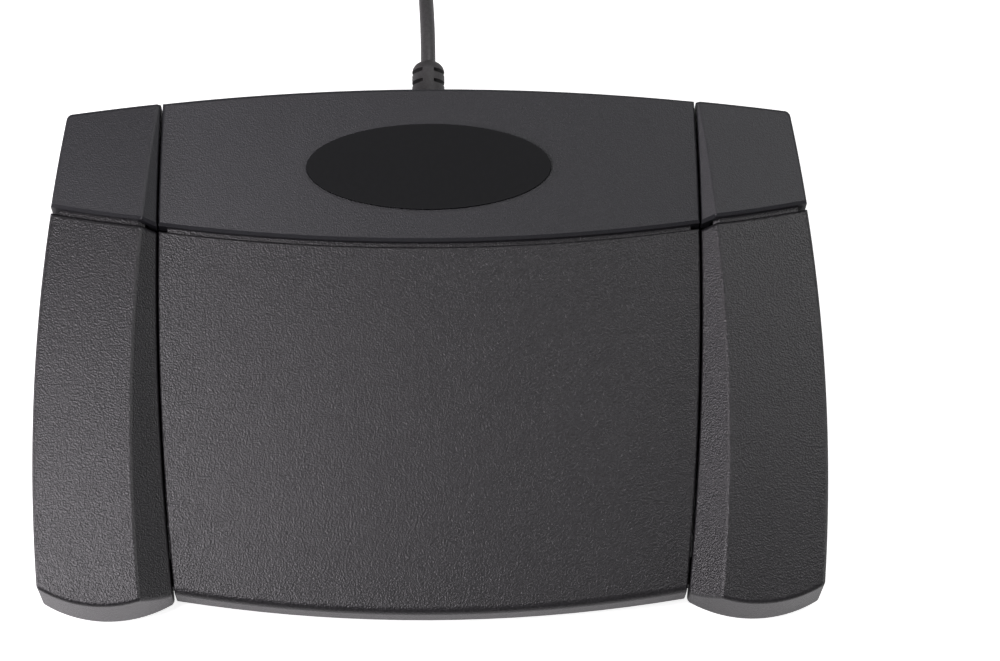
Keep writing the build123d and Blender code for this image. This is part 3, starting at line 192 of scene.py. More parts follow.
@dataclass(frozen=True)
class Finish:
    """One moulded, ground or plated surface, by the way it looks close up.

    The grain has so many cells per metre and stands so far proud (relief). Mottle is how far broad clouds
    change the colour, speck how far the grain does, and the edge wear how far edges are made lighter:
    partly rubbed wear, partly a painted highlight along rounded rims.
    """

    name: str
    color: Color
    roughness: float
    grain: Grain = Grain.SATIN
    cells: float = 1800.0
    relief: float = 0.04 * MM
    metallic: float = 0.0
    mottle: float = 0.10
    speck: float = 0.12
    edge_wear_and_highlight: float = 0.0
    coat: float = 0.0

    def tinted(self, share: float) -> Color:
        """The colour, lighter or darker by a share."""
        return tuple(min(1.0, max(0.0, part * (1 + share))) for part in self.color)

    def height(self, bench: Bench, place: bpy.types.NodeSocket) -> bpy.types.NodeSocket:
        """The relief's pattern.

        Args:
            bench: Where its nodes go.
            place: The coordinates it reads.

        Returns:
            The height socket.
        """
        if self.grain is Grain.DRAWN:
            scale = (1.0, DRAWN_STRETCH, DRAWN_STRETCH)
            stretch = bench.add("ShaderNodeMapping", inputs={"Scale": scale})
            bench.join(place, stretch.inputs["Vector"])
            return bench.noise(stretch.outputs["Vector"], self.cells / DRAWN_STRETCH, 4.0)
        fine = bench.noise(place, self.cells, 3.0)
        if self.grain is not Grain.PEBBLE:
            return fine
        cells = bench.add(
            "ShaderNodeTexVoronoi",
            settings={"feature": "SMOOTH_F1"},
            inputs={"Scale": self.cells, "Smoothness": CELL_SMOOTHNESS, "Randomness": 1.0},
        )
        bench.join(place, cells.inputs["Vector"])
        both = bench.add("ShaderNodeMath", settings={"operation": "MULTIPLY_ADD"}, inputs={1: CELL_SHARE})
        bench.join(cells.outputs["Distance"], both.inputs[0])
        bench.join(fine, both.inputs[2])
        return both.outputs["Value"]

    def traces(
        self, bench: Bench, place: bpy.types.NodeSocket, ground: bpy.types.NodeSocket
    ) -> bpy.types.NodeSocket:
        """Copper tracks that show through a board's lacquer.

        Args:
            bench: Where the nodes go.
            place: The coordinates they read.
            ground: The lacquer's own colour.

        Returns:
            The colour socket with the tracks on it.
        """
        bands = bench.add(
            "ShaderNodeTexWave",
            settings={"bands_direction": "Y", "wave_profile": "SIN"},
            inputs={"Scale": TRACK_SCALE, "Distortion": TRACK_WAVER, "Detail": 0.0, "Detail Scale": 1.0},
        )
        bench.join(place, bands.inputs["Vector"])
        lines = bench.spread(bands.outputs["Fac"], TRACK_EDGE)
        patches = bench.spread(bench.noise(place, PATCH_SCALE, 0.0), PATCH_EDGE)
        mask = bench.add("ShaderNodeMath", settings={"operation": "MULTIPLY"})
        bench.join(lines, mask.inputs[0])
        bench.join(patches, mask.inputs[1])
        return bench.blend(mask.outputs["Value"], ground, self.tinted(TRACK_TINT))

    def material(self) -> bpy.types.Material:
        """The finish as a material, made once.

        Returns:
            The material.
        """
        known = bpy.data.materials.get(f"finish_{self.name}")
        if known:
            return known
        bench = Bench(f"finish_{self.name}")
        place = bench.add("ShaderNodeTexCoord").outputs["Object"]
        cloud = bench.spread(bench.noise(place, CLOUD_SCALE, 4.0), CLOUD_EDGE)
        color = bench.blend(cloud, self.tinted(-self.mottle), self.tinted(self.mottle))
        speck = bench.spread(bench.noise(place, self.cells, 2.0), SPECK_EDGE)
        color = bench.blend(speck, color, self.tinted(self.speck * 2))
        if self.grain is Grain.TRACES:
            color = self.traces(bench, place, color)
        glossiest = max(GLOSS_LEAST, self.roughness - GLOSS_SPREAD)
        dullest = min(1.0, self.roughness + GLOSS_SPREAD)
        rough = bench.spread(bench.noise(place, GLOSS_SCALE, 3.0), GLOSS_EDGE, (glossiest, dullest))
        # Painted edge highlight and wear: edges found by the Bevel node get a lighter colour and a glossier
        # surface.
        if self.edge_wear_and_highlight:
            rounded = bench.add("ShaderNodeBevel", settings={"samples": 4}, inputs={"Radius": WEAR_RADIUS})
            true = bench.add("ShaderNodeNewGeometry")
            dot = bench.add("ShaderNodeVectorMath", settings={"operation": "DOT_PRODUCT"})
            bench.join(rounded.outputs["Normal"], dot.inputs[0])
            bench.join(true.outputs["Normal"], dot.inputs[1])
            edge = bench.spread(dot.outputs["Value"], EDGE_WEAR_AND_HIGHLIGHT_RAMP, (0.0, self.edge_wear_and_highlight))
            color = bench.blend(edge, color, self.tinted(EDGE_WEAR_AND_HIGHLIGHT_TINT))
            rough = bench.spread(edge, (0.0, 1.0), (self.roughness, self.roughness * WEAR_GLOSS))
        bench.join(color, bench.shader.inputs["Base Color"])
        bench.join(rough, bench.shader.inputs["Roughness"])
        if self.relief:
            bump = bench.add("ShaderNodeBump", inputs={"Strength": BUMP_STRENGTH, "Distance": self.relief})
            bench.join(self.height(bench, place), bump.inputs["Height"])
            bench.join(bump.outputs["Normal"], bench.shader.inputs["Normal"])
        bench.shader.inputs["Metallic"].default_value = self.metallic
        bench.shader.inputs["Coat Weight"].default_value = self.coat
        bench.shader.inputs["Coat Roughness"].default_value = COAT_ROUGHNESS
        return bench.material


# The edge value on a finish sets how far its edges are lightened, partly as rubbed wear and partly as a
# painted highlight along rounded rims.
COVER = Finish(
    "cover_satin", (0.012, 0.012, 0.0145), 0.44, Grain.PEBBLE, 2500, 0.085 * MM, speck=0.35, edge_wear_and_highlight=0.35
)
TREADLE = Finish(
    "treadle_grain", (0.0075, 0.0070, 0.0080), 0.34, Grain.PEBBLE, 2050, 0.13 * MM, speck=0.9, edge_wear_and_highlight=0.3
)
BADGE = Finish("badge_gloss", (0.004, 0.004, 0.005), 0.14, Grain.SATIN, 700, 0.003 * MM, coat=0.5, edge_wear_and_highlight=0.6)
TRAY = Finish("tray_plain", (0.028, 0.028, 0.030), 0.55, Grain.PEBBLE, 1700, 0.05 * MM, edge_wear_and_highlight=0.3)
FOOT = Finish("foot_rubber", (0.018, 0.018, 0.018), 0.82, Grain.SATIN, 2400, 0.05 * MM, mottle=0.25)
STOP = Finish("stop_rubber", (0.035, 0.035, 0.036), 0.85, Grain.SATIN, 2400, 0.05 * MM, mottle=0.25)
VINYL = Finish("cord_vinyl", (0.056, 0.054, 0.055), 0.44, Grain.SATIN, 1500, 0.018 * MM, mottle=0.14)
RELIEF = Finish(
    "relief_vinyl", (0.046, 0.044, 0.045), 0.55, Grain.SATIN, 1700, 0.03 * MM, mottle=0.16, edge_wear_and_highlight=0.25
)
OVERMOULD = Finish("plug_overmould", (0.030, 0.031, 0.033), 0.50, Grain.PEBBLE, 2900, 0.04 * MM, edge_wear_and_highlight=0.3)
NICKEL = Finish(
    "plug_nickel", (0.74, 0.72, 0.68), 0.27, Grain.SATIN, 900, 0.006 * MM, metallic=1.0, mottle=0.06
)
INSULATOR = Finish("tongue_white", (0.80, 0.80, 0.78), 0.38, Grain.SATIN, 1400, 0.006 * MM, mottle=0.03)
GOLD = Finish(
    "contact_gold", (0.83, 0.62, 0.28), 0.24, Grain.DRAWN, 3000, 0.004 * MM, metallic=1.0, mottle=0.08
)
ZINC = Finish(
    "zinc_sheet", (0.50, 0.51, 0.52), 0.42, Grain.SATIN, 500, 0.02 * MM, metallic=1.0, mottle=0.22
)
GROUND = Finish(
    "ground_rod", (0.64, 0.64, 0.65), 0.22, Grain.DRAWN, 5200, 0.006 * MM, metallic=1.0, mottle=0.06
)
BLUED = Finish(
    "blued_ring", (0.05, 0.055, 0.07), 0.34, Grain.SATIN, 1600, 0.01 * MM, metallic=1.0, mottle=0.2
)
WIRE = Finish(
    "spring_wire", (0.56, 0.56, 0.57), 0.28, Grain.DRAWN, 4200, 0.006 * MM, metallic=1.0, mottle=0.1
)
SCREW = Finish(
    "screw_zinc", (0.58, 0.58, 0.60), 0.33, Grain.SATIN, 1600, 0.01 * MM, metallic=1.0, mottle=0.14, edge_wear_and_highlight=0.3
)
LACQUER = Finish("board_lacquer", (0.012, 0.085, 0.030), 0.30, Grain.TRACES, 1500, 0.01 * MM, coat=0.4)
PACKAGE = Finish("chip_package", (0.015, 0.015, 0.016), 0.60, Grain.PEBBLE, 5200, 0.015 * MM, mottle=0.15)
CAN = Finish("component_can", (0.70, 0.71, 0.72), 0.30, Grain.DRAWN, 3000, 0.008 * MM, metallic=1.0)
NYLON = Finish(
    "connector_nylon", (0.72, 0.69, 0.60), 0.42, Grain.SATIN, 1500, 0.012 * MM, mottle=0.05, edge_wear_and_highlight=0.15
)
CASE = Finish("switch_case", (0.030, 0.030, 0.032), 0.40, Grain.PEBBLE, 4200, 0.014 * MM, edge_wear_and_highlight=0.3)
ACETAL = Finish("plunger_acetal", (0.38, 0.028, 0.022), 0.30, Grain.SATIN, 2000, 0.006 * MM, mottle=0.08)
CLAMP = Finish("clamp_nylon", (0.034, 0.034, 0.036), 0.45, Grain.SATIN, 1900, 0.02 * MM, edge_wear_and_highlight=0.2)
TIN = Finish(
    "solder_tin", (0.66, 0.66, 0.66), 0.25, Grain.SATIN, 1400, 0.012 * MM, metallic=1.0, mottle=0.12
)
CERAMIC = Finish("resistor_ceramic", (0.02, 0.022, 0.03), 0.35, Grain.SATIN, 3000, 0.008 * MM, mottle=0.12)

NODE_FINISHES = {
    COVER: ("rear_cover", "left_rear_cap", "right_rear_cap"),
    TREADLE: ("left_pedal", "center_pedal", "right_pedal"),
    BADGE: ("oval_badge",),
    TRAY: ("base_tray",),
    ZINC: ("ballast_plate",),
    FOOT: ("rubber_feet",),
    STOP: ("bump_stops",),
    GROUND: ("hinge_rod",),
    BLUED: ("retaining_rings",),
    WIRE: ("center_springs", "left_spring", "right_spring"),
    LACQUER: ("circuit_board",),
    TIN: ("switch_terminals",),
    PACKAGE: ("controller_chip",),
    CAN: ("board_components",),
    NYLON: ("board_connector",),
    SCREW: ("board_screws", "housing_screws", "clamp_screws"),
    CASE: ("left_switch", "center_switch", "right_switch"),
    ACETAL: ("left_plunger", "center_plunger", "right_plunger"),
    CLAMP: ("cable_clamp",),
    RELIEF: ("strain_relief",),
    VINYL: ("cable_tail", "usb_cord", "usb_cord_coil", "usb_cord_tail"),
    OVERMOULD: ("plug_relief", "plug_housing"),
    NICKEL: ("plug_shell",),
    INSULATOR: ("plug_tongue",),
    GOLD: ("plug_contacts",),
}


def dress_nodes() -> None:
    """Gives every piece of the frame its finish."""
    for finish, names in NODE_FINISHES.items():
        for name in names:
            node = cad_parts[name]
            if not node.material_slots:
                node.data.materials.append(None)
            for slot in node.material_slots:
                slot.material = finish.material()
            LOG.info("dressed %s with %s", name, finish.name)


def revolved(profile: list[tuple[float, float]], around: int) -> bpy.types.Mesh:
    """A closed body turned about Z.

    Args:
        profile: Radius and height of its rings, from one pole to the other, outside upwards.
        around: How many faces go round it.

    Returns:
        The mesh.
    """
    body = bmesh.new()
    rings = []
    for radius, height in profile:
        turns = [2 * math.pi * step / around for step in range(around if radius else 1)]
        rings.append(
            [body.verts.new((radius * math.cos(turn), radius * math.sin(turn), height)) for turn in turns]
        )
    for low, high in zip(rings, rings[1:]):
        for step in range(around):
            after = (step + 1) % around
            corners = []
            for ring, order in ((low, (step, after)), (high, (after, step))):
                corners += [ring[0]] if len(ring) == 1 else [ring[place] for place in order]
            body.faces.new(corners)
    bmesh.ops.recalc_face_normals(body, faces=body.faces)
    for face in body.faces:
        face.smooth = True
    mesh = bpy.data.meshes.new("turned")
    body.to_mesh(mesh)
    body.free()
    return mesh


def block(size: Triple) -> bpy.types.Mesh:
    """A small box with softened edges that stands on the origin.

    Args:
        size: Its three sizes.

    Returns:
        The mesh.
    """
    body = bmesh.new()
    bmesh.ops.create_cube(body, size=1.0)
    for corner in body.verts:
        corner.co = Vector((corner.co.x * size[0], corner.co.y * size[1], (corner.co.z + 0.5) * size[2]))
    soft = min(size) * BLOCK_SOFTNESS
    bmesh.ops.bevel(body, geom=body.edges[:], offset=soft, segments=2, profile=0.5, affect="EDGES")
    mesh = bpy.data.meshes.new("block")
    body.to_mesh(mesh)
    body.free()
    return mesh


class Scatter:
    """Geometry Nodes that set copies of one template on points and realize them."""

    def __init__(self) -> None:
        """Builds the node group with its named inputs."""
        self.tree = bpy.data.node_groups.new("copies_on_points", "GeometryNodeTree")
        make = self.tree.interface.new_socket
        make(name="Geometry", in_out="INPUT", socket_type="NodeSocketGeometry")
        self.template = make(name="Template", in_out="INPUT", socket_type="NodeSocketObject").identifier
        self.finish = make(name="Finish", in_out="INPUT", socket_type="NodeSocketMaterial").identifier
        self.size = make(name="Size", in_out="INPUT", socket_type="NodeSocketFloat").identifier
        make(name="Geometry", in_out="OUTPUT", socket_type="NodeSocketGeometry")
        nodes, link = self.tree.nodes, self.tree.links.new
        source = nodes.new("NodeGroupInput")
        result = nodes.new("NodeGroupOutput")
        info = nodes.new("GeometryNodeObjectInfo")
        turn = nodes.new("GeometryNodeInputNamedAttribute")
        turn.data_type = "FLOAT_VECTOR"
        turn.inputs["Name"].default_value = "turn"
        euler = nodes.new("FunctionNodeEulerToRotation")
        copies = nodes.new("GeometryNodeInstanceOnPoints")
        realize = nodes.new("GeometryNodeRealizeInstances")
        paint = nodes.new("GeometryNodeSetMaterial")
        link(source.outputs["Template"], info.inputs["Object"])
        link(source.outputs["Geometry"], copies.inputs["Points"])
        link(info.outputs["Geometry"], copies.inputs["Instance"])
        link(turn.outputs["Attribute"], euler.inputs[0])
        link(euler.outputs[0], copies.inputs["Rotation"])
        link(source.outputs["Size"], copies.inputs["Scale"])
        link(copies.outputs["Instances"], realize.inputs["Geometry"])
        link(realize.outputs["Geometry"], paint.inputs["Geometry"])
        link(source.outputs["Finish"], paint.inputs["Material"])
        link(paint.outputs["Geometry"], result.inputs["Geometry"])

    def place(
        self,
        name: str,
        template: bpy.types.Mesh,
        spots: list[tuple[Vector, Triple]],
        finish: Finish,
    ) -> bpy.types.Object:
        """Sets the template on each spot.

        Args:
            name: The new piece's name.
            template: The mesh that is repeated, about its own origin.
            spots: Place and turn of each copy.
            finish: What the copies are made of.

        Returns:
            One object with a plain mesh.
        """
        points = bpy.data.meshes.new(name)
        points.from_pydata([spot for spot, _ in spots], [], [])
        turns = points.attributes.new("turn", "FLOAT_VECTOR", "POINT")
        for index, (_, turn) in enumerate(spots):
            turns.data[index].vector = turn
        sample = bpy.data.objects.new(f"{name}_template", template)
        bpy.context.scene.collection.objects.link(sample)
        piece = bpy.data.objects.new(name, points)
        bpy.context.scene.collection.objects.link(piece)
        modifier = piece.modifiers.new("copies", "NODES")
        modifier.node_group = self.tree
        modifier[self.template] = sample
        modifier[self.finish] = finish.material()
        modifier[self.size] = 1.0
        plain_mesh(piece)
        bpy.data.objects.remove(sample)
        LOG.info("placed %s, %d copies", name, len(spots))
        return piece


def plain_mesh(piece: bpy.types.Object) -> None:
    """Turns what a piece's modifiers make into its own mesh.

    Args:
        piece: The object, whose modifiers are then removed.
    """
    bpy.context.view_layer.update()
    shown = piece.evaluated_get(bpy.context.evaluated_depsgraph_get())
    mesh = bpy.data.meshes.new_from_object(shown)
    piece.modifiers.clear()
    piece.data = mesh


@dataclass
class CrossScrew:
    """A pan-head screw with a cross recess and a rolled thread, its seat at the origin.

    The thread's shares are of the shank's radius, the rim's and the recess's of the head's radius and height.
    One bar of the recess stands a little higher, so that the two share no face.
    """

    radius: float
    length: float
    head_radius: float
    head_height: float
    pitch: float
    thread_faces: int = 20
    rows_per_turn: int = 6
    root_share: float = 0.80
    crest_share: float = 0.985
    crest_slope: float = 3.2
    tip_share: float = 0.25
    head_faces: int = 40
    head_edge: float = 0.42
    edge_steps: int = 6
    rim_inset: float = 0.97
    rim_rise: float = 0.08
    bar_reach: float = 0.58
    bar_depth: float = 0.62
    bar_foot: tuple[float, float] = (0.45, 0.13)
    bar_mouth: tuple[float, float] = (1.0, 0.21)
    bar_top: float = 1.3
    bar_offset: float = 0.003 * MM

    def thread(self, body: bmesh.types.BMesh) -> None:
        """Adds the threaded shank under the seat.

        Args:
            body: The mesh under construction.
        """
        around = self.thread_faces
        rows = int(self.length / self.pitch * self.rows_per_turn)
        root = self.radius * self.root_share
        rings = []
        for row in range(rows + 1):
            depth = self.length * row / rows
            taper = (self.length - depth) / (2 * self.pitch) + self.tip_share
            tip = min(1.0, max(self.tip_share, taper))
            ring = []
            for step in range(around):
                wave = (depth / self.pitch + step / around) % 1.0
                crest = max(0.0, 1 - abs(wave - 0.5) * self.crest_slope)
                reach = (root + (self.radius * self.crest_share - root) * crest) * tip
                angle = 2 * math.pi * step / around
                ring.append(body.verts.new((reach * math.cos(angle), reach * math.sin(angle), -depth)))
            rings.append(ring)
        for high, low in zip(rings, rings[1:]):
            for step in range(around):
                after = (step + 1) % around
                body.faces.new((high[step], low[step], low[after], high[after]))
        body.faces.new(rings[0])
        body.faces.new(list(reversed(rings[-1])))

    def recess(self) -> bpy.types.Object:
        """The cutter of the cross recess.

        Returns:
            An object with two crossing tapered bars.
        """
        body = bmesh.new()
        reach = self.head_radius * self.bar_reach
        bottom = self.head_height - self.head_height * self.bar_depth
        for turn in (0, 1):
            for corner in bmesh.ops.create_cube(body, size=1.0)["verts"]:
                high = corner.co.z > 0
                length, width = self.bar_mouth if high else self.bar_foot
                x = corner.co.x * 2 * (reach * length)
                y = corner.co.y * 2 * (reach * width)
                z = self.head_height * self.bar_top if high else bottom
                corner.co = Vector((x, y, z) if not turn else (y, x, z + self.bar_offset))
        bmesh.ops.recalc_face_normals(body, faces=body.faces)
        mesh = bpy.data.meshes.new("recess")
        body.to_mesh(mesh)
        body.free()
        cutter = bpy.data.objects.new("recess", mesh)
        bpy.context.scene.collection.objects.link(cutter)
        return cutter

    def mesh(self) -> bpy.types.Mesh:
        """The whole screw, its drive side up.

        Returns:
            The mesh.
        """
        edge = self.head_height * self.head_edge
        profile = [
            (0.0, 0.0),
            (self.head_radius * self.rim_inset, 0.0),
            (self.head_radius, self.head_height * self.rim_rise),
            (self.head_radius, self.head_height - edge),
        ]
        for step in range(1, self.edge_steps + 1):
            angle = math.pi / 2 * step / self.edge_steps
            inward, upward = edge * (1 - math.cos(angle)), edge * math.sin(angle)
            profile.append((self.head_radius - inward, self.head_height - edge + upward))
        profile.append((0.0, self.head_height))
        head = bpy.data.objects.new("head", revolved(profile, self.head_faces))
        bpy.context.scene.collection.objects.link(head)
        cutter = self.recess()
        cut = head.modifiers.new("cut", "BOOLEAN")
        cut.operation = "DIFFERENCE"
        cut.solver = "EXACT"
        cut.use_self = True
        cut.object = cutter
        plain_mesh(head)
        body = bmesh.new()
        body.from_mesh(head.data)
        self.thread(body)
        mesh = bpy.data.meshes.new("screw")
        body.to_mesh(mesh)
        body.free()
        bpy.data.objects.remove(head)
        bpy.data.objects.remove(cutter)
        return mesh


@dataclass
class Fasteners:
    """All the screws: four from below, four on the board, two on the cable clamp; places in millimetres."""

    scatter: Scatter
    down: Triple = (math.pi, 0.0, 0.0)
    up: Triple = (0.0, 0.0, 0.4)
    housing_places: tuple[tuple[float, float], ...] = ((-95, 61), (-50, 63), (50, 63), (95, 61))
    housing_seat: float = 5.4
    board_places: tuple[tuple[float, float], ...] = ((-72, 25), (-26, 12.5), (26, 12.5), (72, 25))
    board_seat: float = 10.6
    clamp_places: tuple[tuple[float, float], ...] = ((-8, 63), (8, 63))
    clamp_seat: float = 19.0

    def build(self) -> None:
        """Places each kind of screw over its plain CAD solids."""
        long = CrossScrew(1.5 * MM, 20 * MM, 3.0 * MM, 2.2 * MM, pitch=1.2 * MM)
        short = CrossScrew(1.4 * MM, 4.95 * MM, 2.7 * MM, 1.8 * MM, pitch=0.9 * MM)
        middle = CrossScrew(1.4 * MM, 7.95 * MM, 2.7 * MM, 1.8 * MM, pitch=0.9 * MM)
        kinds = (
            ("housing_screws", long, self.housing_places, self.housing_seat, self.down),
            ("board_screws", short, self.board_places, self.board_seat, self.up),
            ("clamp_screws", middle, self.clamp_places, self.clamp_seat, self.up),
        )
        for node, screw, places, seat, turn in kinds:
            spots = [(Vector((x, y, seat)) * MM, turn) for x, y in places]
            piece = self.scatter.place(f"cross_{node}", screw.mesh(), spots, SCREW)
            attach(piece, "housing")
            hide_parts(node)


@dataclass
class Springs:
    """Round-wire compression springs under the treadles."""

    coil_radius: float = 5.4 * MM
    wire_radius: float = 0.6 * MM
    turns: float = 5.0
    low: float = 5.25 * MM
    rise: float = 12.0 * MM
    y: float = -4.0 * MM
    steps_per_turn: int = 36
    wire_faces: int = 14

    def tree(self) -> tuple[bpy.types.NodeTree, dict[str, str]]:
        """Geometry Nodes that wind a spring on each point.

        Returns:
            The node group and its inputs' identifiers.
        """
        tree = bpy.data.node_groups.new("wound_spring", "GeometryNodeTree")
        make = tree.interface.new_socket
        make(name="Geometry", in_out="INPUT", socket_type="NodeSocketGeometry")
        names = {
            name: make(name=name, in_out="INPUT", socket_type=f"NodeSocket{kind}").identifier
            for name, kind in (
                ("Coil Radius", "Float"),
                ("Wire Radius", "Float"),
                ("Turns", "Float"),
                ("Rise", "Float"),
                ("Finish", "Material"),
            )
        }
        make(name="Geometry", in_out="OUTPUT", socket_type="NodeSocketGeometry")
        nodes, link = tree.nodes, tree.links.new
        source = nodes.new("NodeGroupInput")
        result = nodes.new("NodeGroupOutput")
        spiral = nodes.new("GeometryNodeCurveSpiral")
        spiral.inputs["Resolution"].default_value = self.steps_per_turn
        profile = nodes.new("GeometryNodeCurvePrimitiveCircle")
        profile.inputs["Resolution"].default_value = self.wire_faces
        skin = nodes.new("GeometryNodeCurveToMesh")
        skin.inputs["Fill Caps"].default_value = True
        copies = nodes.new("GeometryNodeInstanceOnPoints")
        realize = nodes.new("GeometryNodeRealizeInstances")
        smooth = nodes.new("GeometryNodeSetShadeSmooth")
        paint = nodes.new("GeometryNodeSetMaterial")
        link(source.outputs["Turns"], spiral.inputs["Rotations"])
        link(source.outputs["Coil Radius"], spiral.inputs["Start Radius"])
        link(source.outputs["Coil Radius"], spiral.inputs["End Radius"])
        link(source.outputs["Rise"], spiral.inputs["Height"])
        link(source.outputs["Wire Radius"], profile.inputs["Radius"])
        link(spiral.outputs["Curve"], skin.inputs["Curve"])
        link(profile.outputs["Curve"], skin.inputs["Profile Curve"])
        link(source.outputs["Geometry"], copies.inputs["Points"])
        link(skin.outputs["Mesh"], copies.inputs["Instance"])
        link(copies.outputs["Instances"], realize.inputs["Geometry"])
        link(realize.outputs["Geometry"], smooth.inputs["Geometry"])
        link(smooth.outputs["Geometry"], paint.inputs["Geometry"])
        link(source.outputs["Finish"], paint.inputs["Material"])
        link(paint.outputs["Geometry"], result.inputs["Geometry"])
        return tree, names

    def build(self) -> None:
        """Winds the springs."""
        tree, names = self.tree()
        kinds = (
            (Side.CENTER, "center_springs", (-45.0, 45.0)),
            (Side.LEFT, "left_spring", (-97.0,)),
            (Side.RIGHT, "right_spring", (97.0,)),
        )
        for side, node, places in kinds:
            points = bpy.data.meshes.new(node)
            points.from_pydata([(x * MM, self.y, self.low) for x in places], [], [])
            piece = bpy.data.objects.new(f"wound_{node}", points)
            bpy.context.scene.collection.objects.link(piece)
            modifier = piece.modifiers.new("wind", "NODES")
            modifier.node_group = tree
            modifier[names["Coil Radius"]] = self.coil_radius
            modifier[names["Wire Radius"]] = self.wire_radius
            modifier[names["Turns"]] = self.turns
            modifier[names["Rise"]] = self.rise
            modifier[names["Finish"]] = WIRE.material()
            plain_mesh(piece)
            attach(piece, "housing")
            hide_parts(node)
            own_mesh(piece)
            LOG.info("wound %s", node)


@dataclass
class BoardDetails:
    """Small parts of the circuit board: chip legs, solder joints, resistors.

    The leg's line runs outward and down from the chip. Each column of resistors gives its x, then its ys.
    What isn't multiplied by MM here is in millimetres.
    """

    scatter: Scatter
    board_top: float = 10.6 * MM
    board_bottom: float = 9.0 * MM
    chip_x: float = -34.0 * MM
    chip_y: float = 18.5 * MM
    chip_half: float = 5.0 * MM
    legs_a_side: int = 8
    leg_pitch: float = 1.0 * MM
    leg_line: tuple[tuple[float, float], ...] = ((0.0, 0.7), (0.45, 0.7), (0.8, 0.12), (1.4, 0.08))
    leg_half_width: float = 0.2
    leg_half_thickness: float = 0.09
    joint_columns: tuple[float, ...] = (-93.5, 0.0, 93.5)
    joint_y: float = 18.0
    joint_pitch: float = 7.5
    joint_profile: tuple[tuple[float, float], ...] = (
        (0.0, 0.0), (1.05, 0.0), (0.8, 0.35), (0.5, 0.8), (0.0, 0.95)
    )
    joint_faces: int = 20
    resistor_columns: tuple[tuple[float, tuple[float, ...]], ...] = (
        (-22, (16, 20, 24)),
        (-8, (12, 16, 20, 24)),
        (-54, (15, 19, 23)),
        (20, (17, 21, 25)),
        (-85, (15, 21)),
        (85, (15, 21)),
        (60, (18,)),
        (-60, (12,)),
    )
    resistor_size: Triple = (2.2 * MM, 1.4 * MM, 0.55 * MM)
    end_size: Triple = (0.5 * MM, 1.5 * MM, 0.6 * MM)
    end_offset: float = 1.35

    def leg(self) -> bpy.types.Mesh:
        """One gull-wing leg that points along +X from the chip's side.

        Returns:
            The mesh.
        """
        width, thick = self.leg_half_width, self.leg_half_thickness
        body = bmesh.new()
        rings = []
        for x, z in self.leg_line:
            corners = ((-width, -thick), (width, -thick), (width, thick), (-width, thick))
            rings.append([body.verts.new((x * MM, y * MM, (z + lift) * MM)) for y, lift in corners])
        for first, second in zip(rings, rings[1:]):
            for step in range(4):
                after = (step + 1) % 4
                body.faces.new((first[step], first[after], second[after], second[step]))
        body.faces.new(rings[0])
        body.faces.new(list(reversed(rings[-1])))
        bmesh.ops.recalc_face_normals(body, faces=body.faces)
        mesh = bpy.data.meshes.new("leg")
        body.to_mesh(mesh)
        body.free()
        return mesh

    def build(self) -> None:
        """Places the legs, joints and resistors."""
        legs = []
        middle = (self.legs_a_side - 1) / 2
        for quarter in range(4):
            turn = quarter * math.pi / 2
            around = Matrix.Rotation(turn, 3, "Z")
            for step in range(self.legs_a_side):
                spot = around @ Vector((self.chip_half, (step - middle) * self.leg_pitch, 0))
                legs.append((spot + Vector((self.chip_x, self.chip_y, self.board_top)), (0.0, 0.0, turn)))
        ys = [self.joint_y + step * self.joint_pitch for step in (-1, 0, 1)]
        joints = [Vector((x * MM, y * MM, self.board_bottom)) for x in self.joint_columns for y in ys]
        domes = [(joint, (math.pi, 0.0, 0.0)) for joint in joints]
        outline = [(radius * MM, height * MM) for radius, height in self.joint_profile]
        rows = [(x, y) for x, row in self.resistor_columns for y in row]
        spots = [(Vector((x * MM, y * MM, self.board_top)), (0.0, 0.0, 0.0)) for x, y in rows]
        ends = [
            (Vector(((x + end * self.end_offset) * MM, y * MM, self.board_top)), (0.0, 0.0, 0.0))
            for x, y in rows
            for end in (-1, 1)
        ]
        pieces = (
            ("chip_legs", self.leg(), legs, TIN),
            ("solder_joints", revolved(outline, self.joint_faces), domes, TIN),
            ("resistor_bodies", block(self.resistor_size), spots, CERAMIC),
            ("resistor_ends", block(self.end_size), ends, TIN),
        )
        for name, template, places, finish in pieces:
            piece = self.scatter.place(name, template, places, finish)
            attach(piece, "housing")


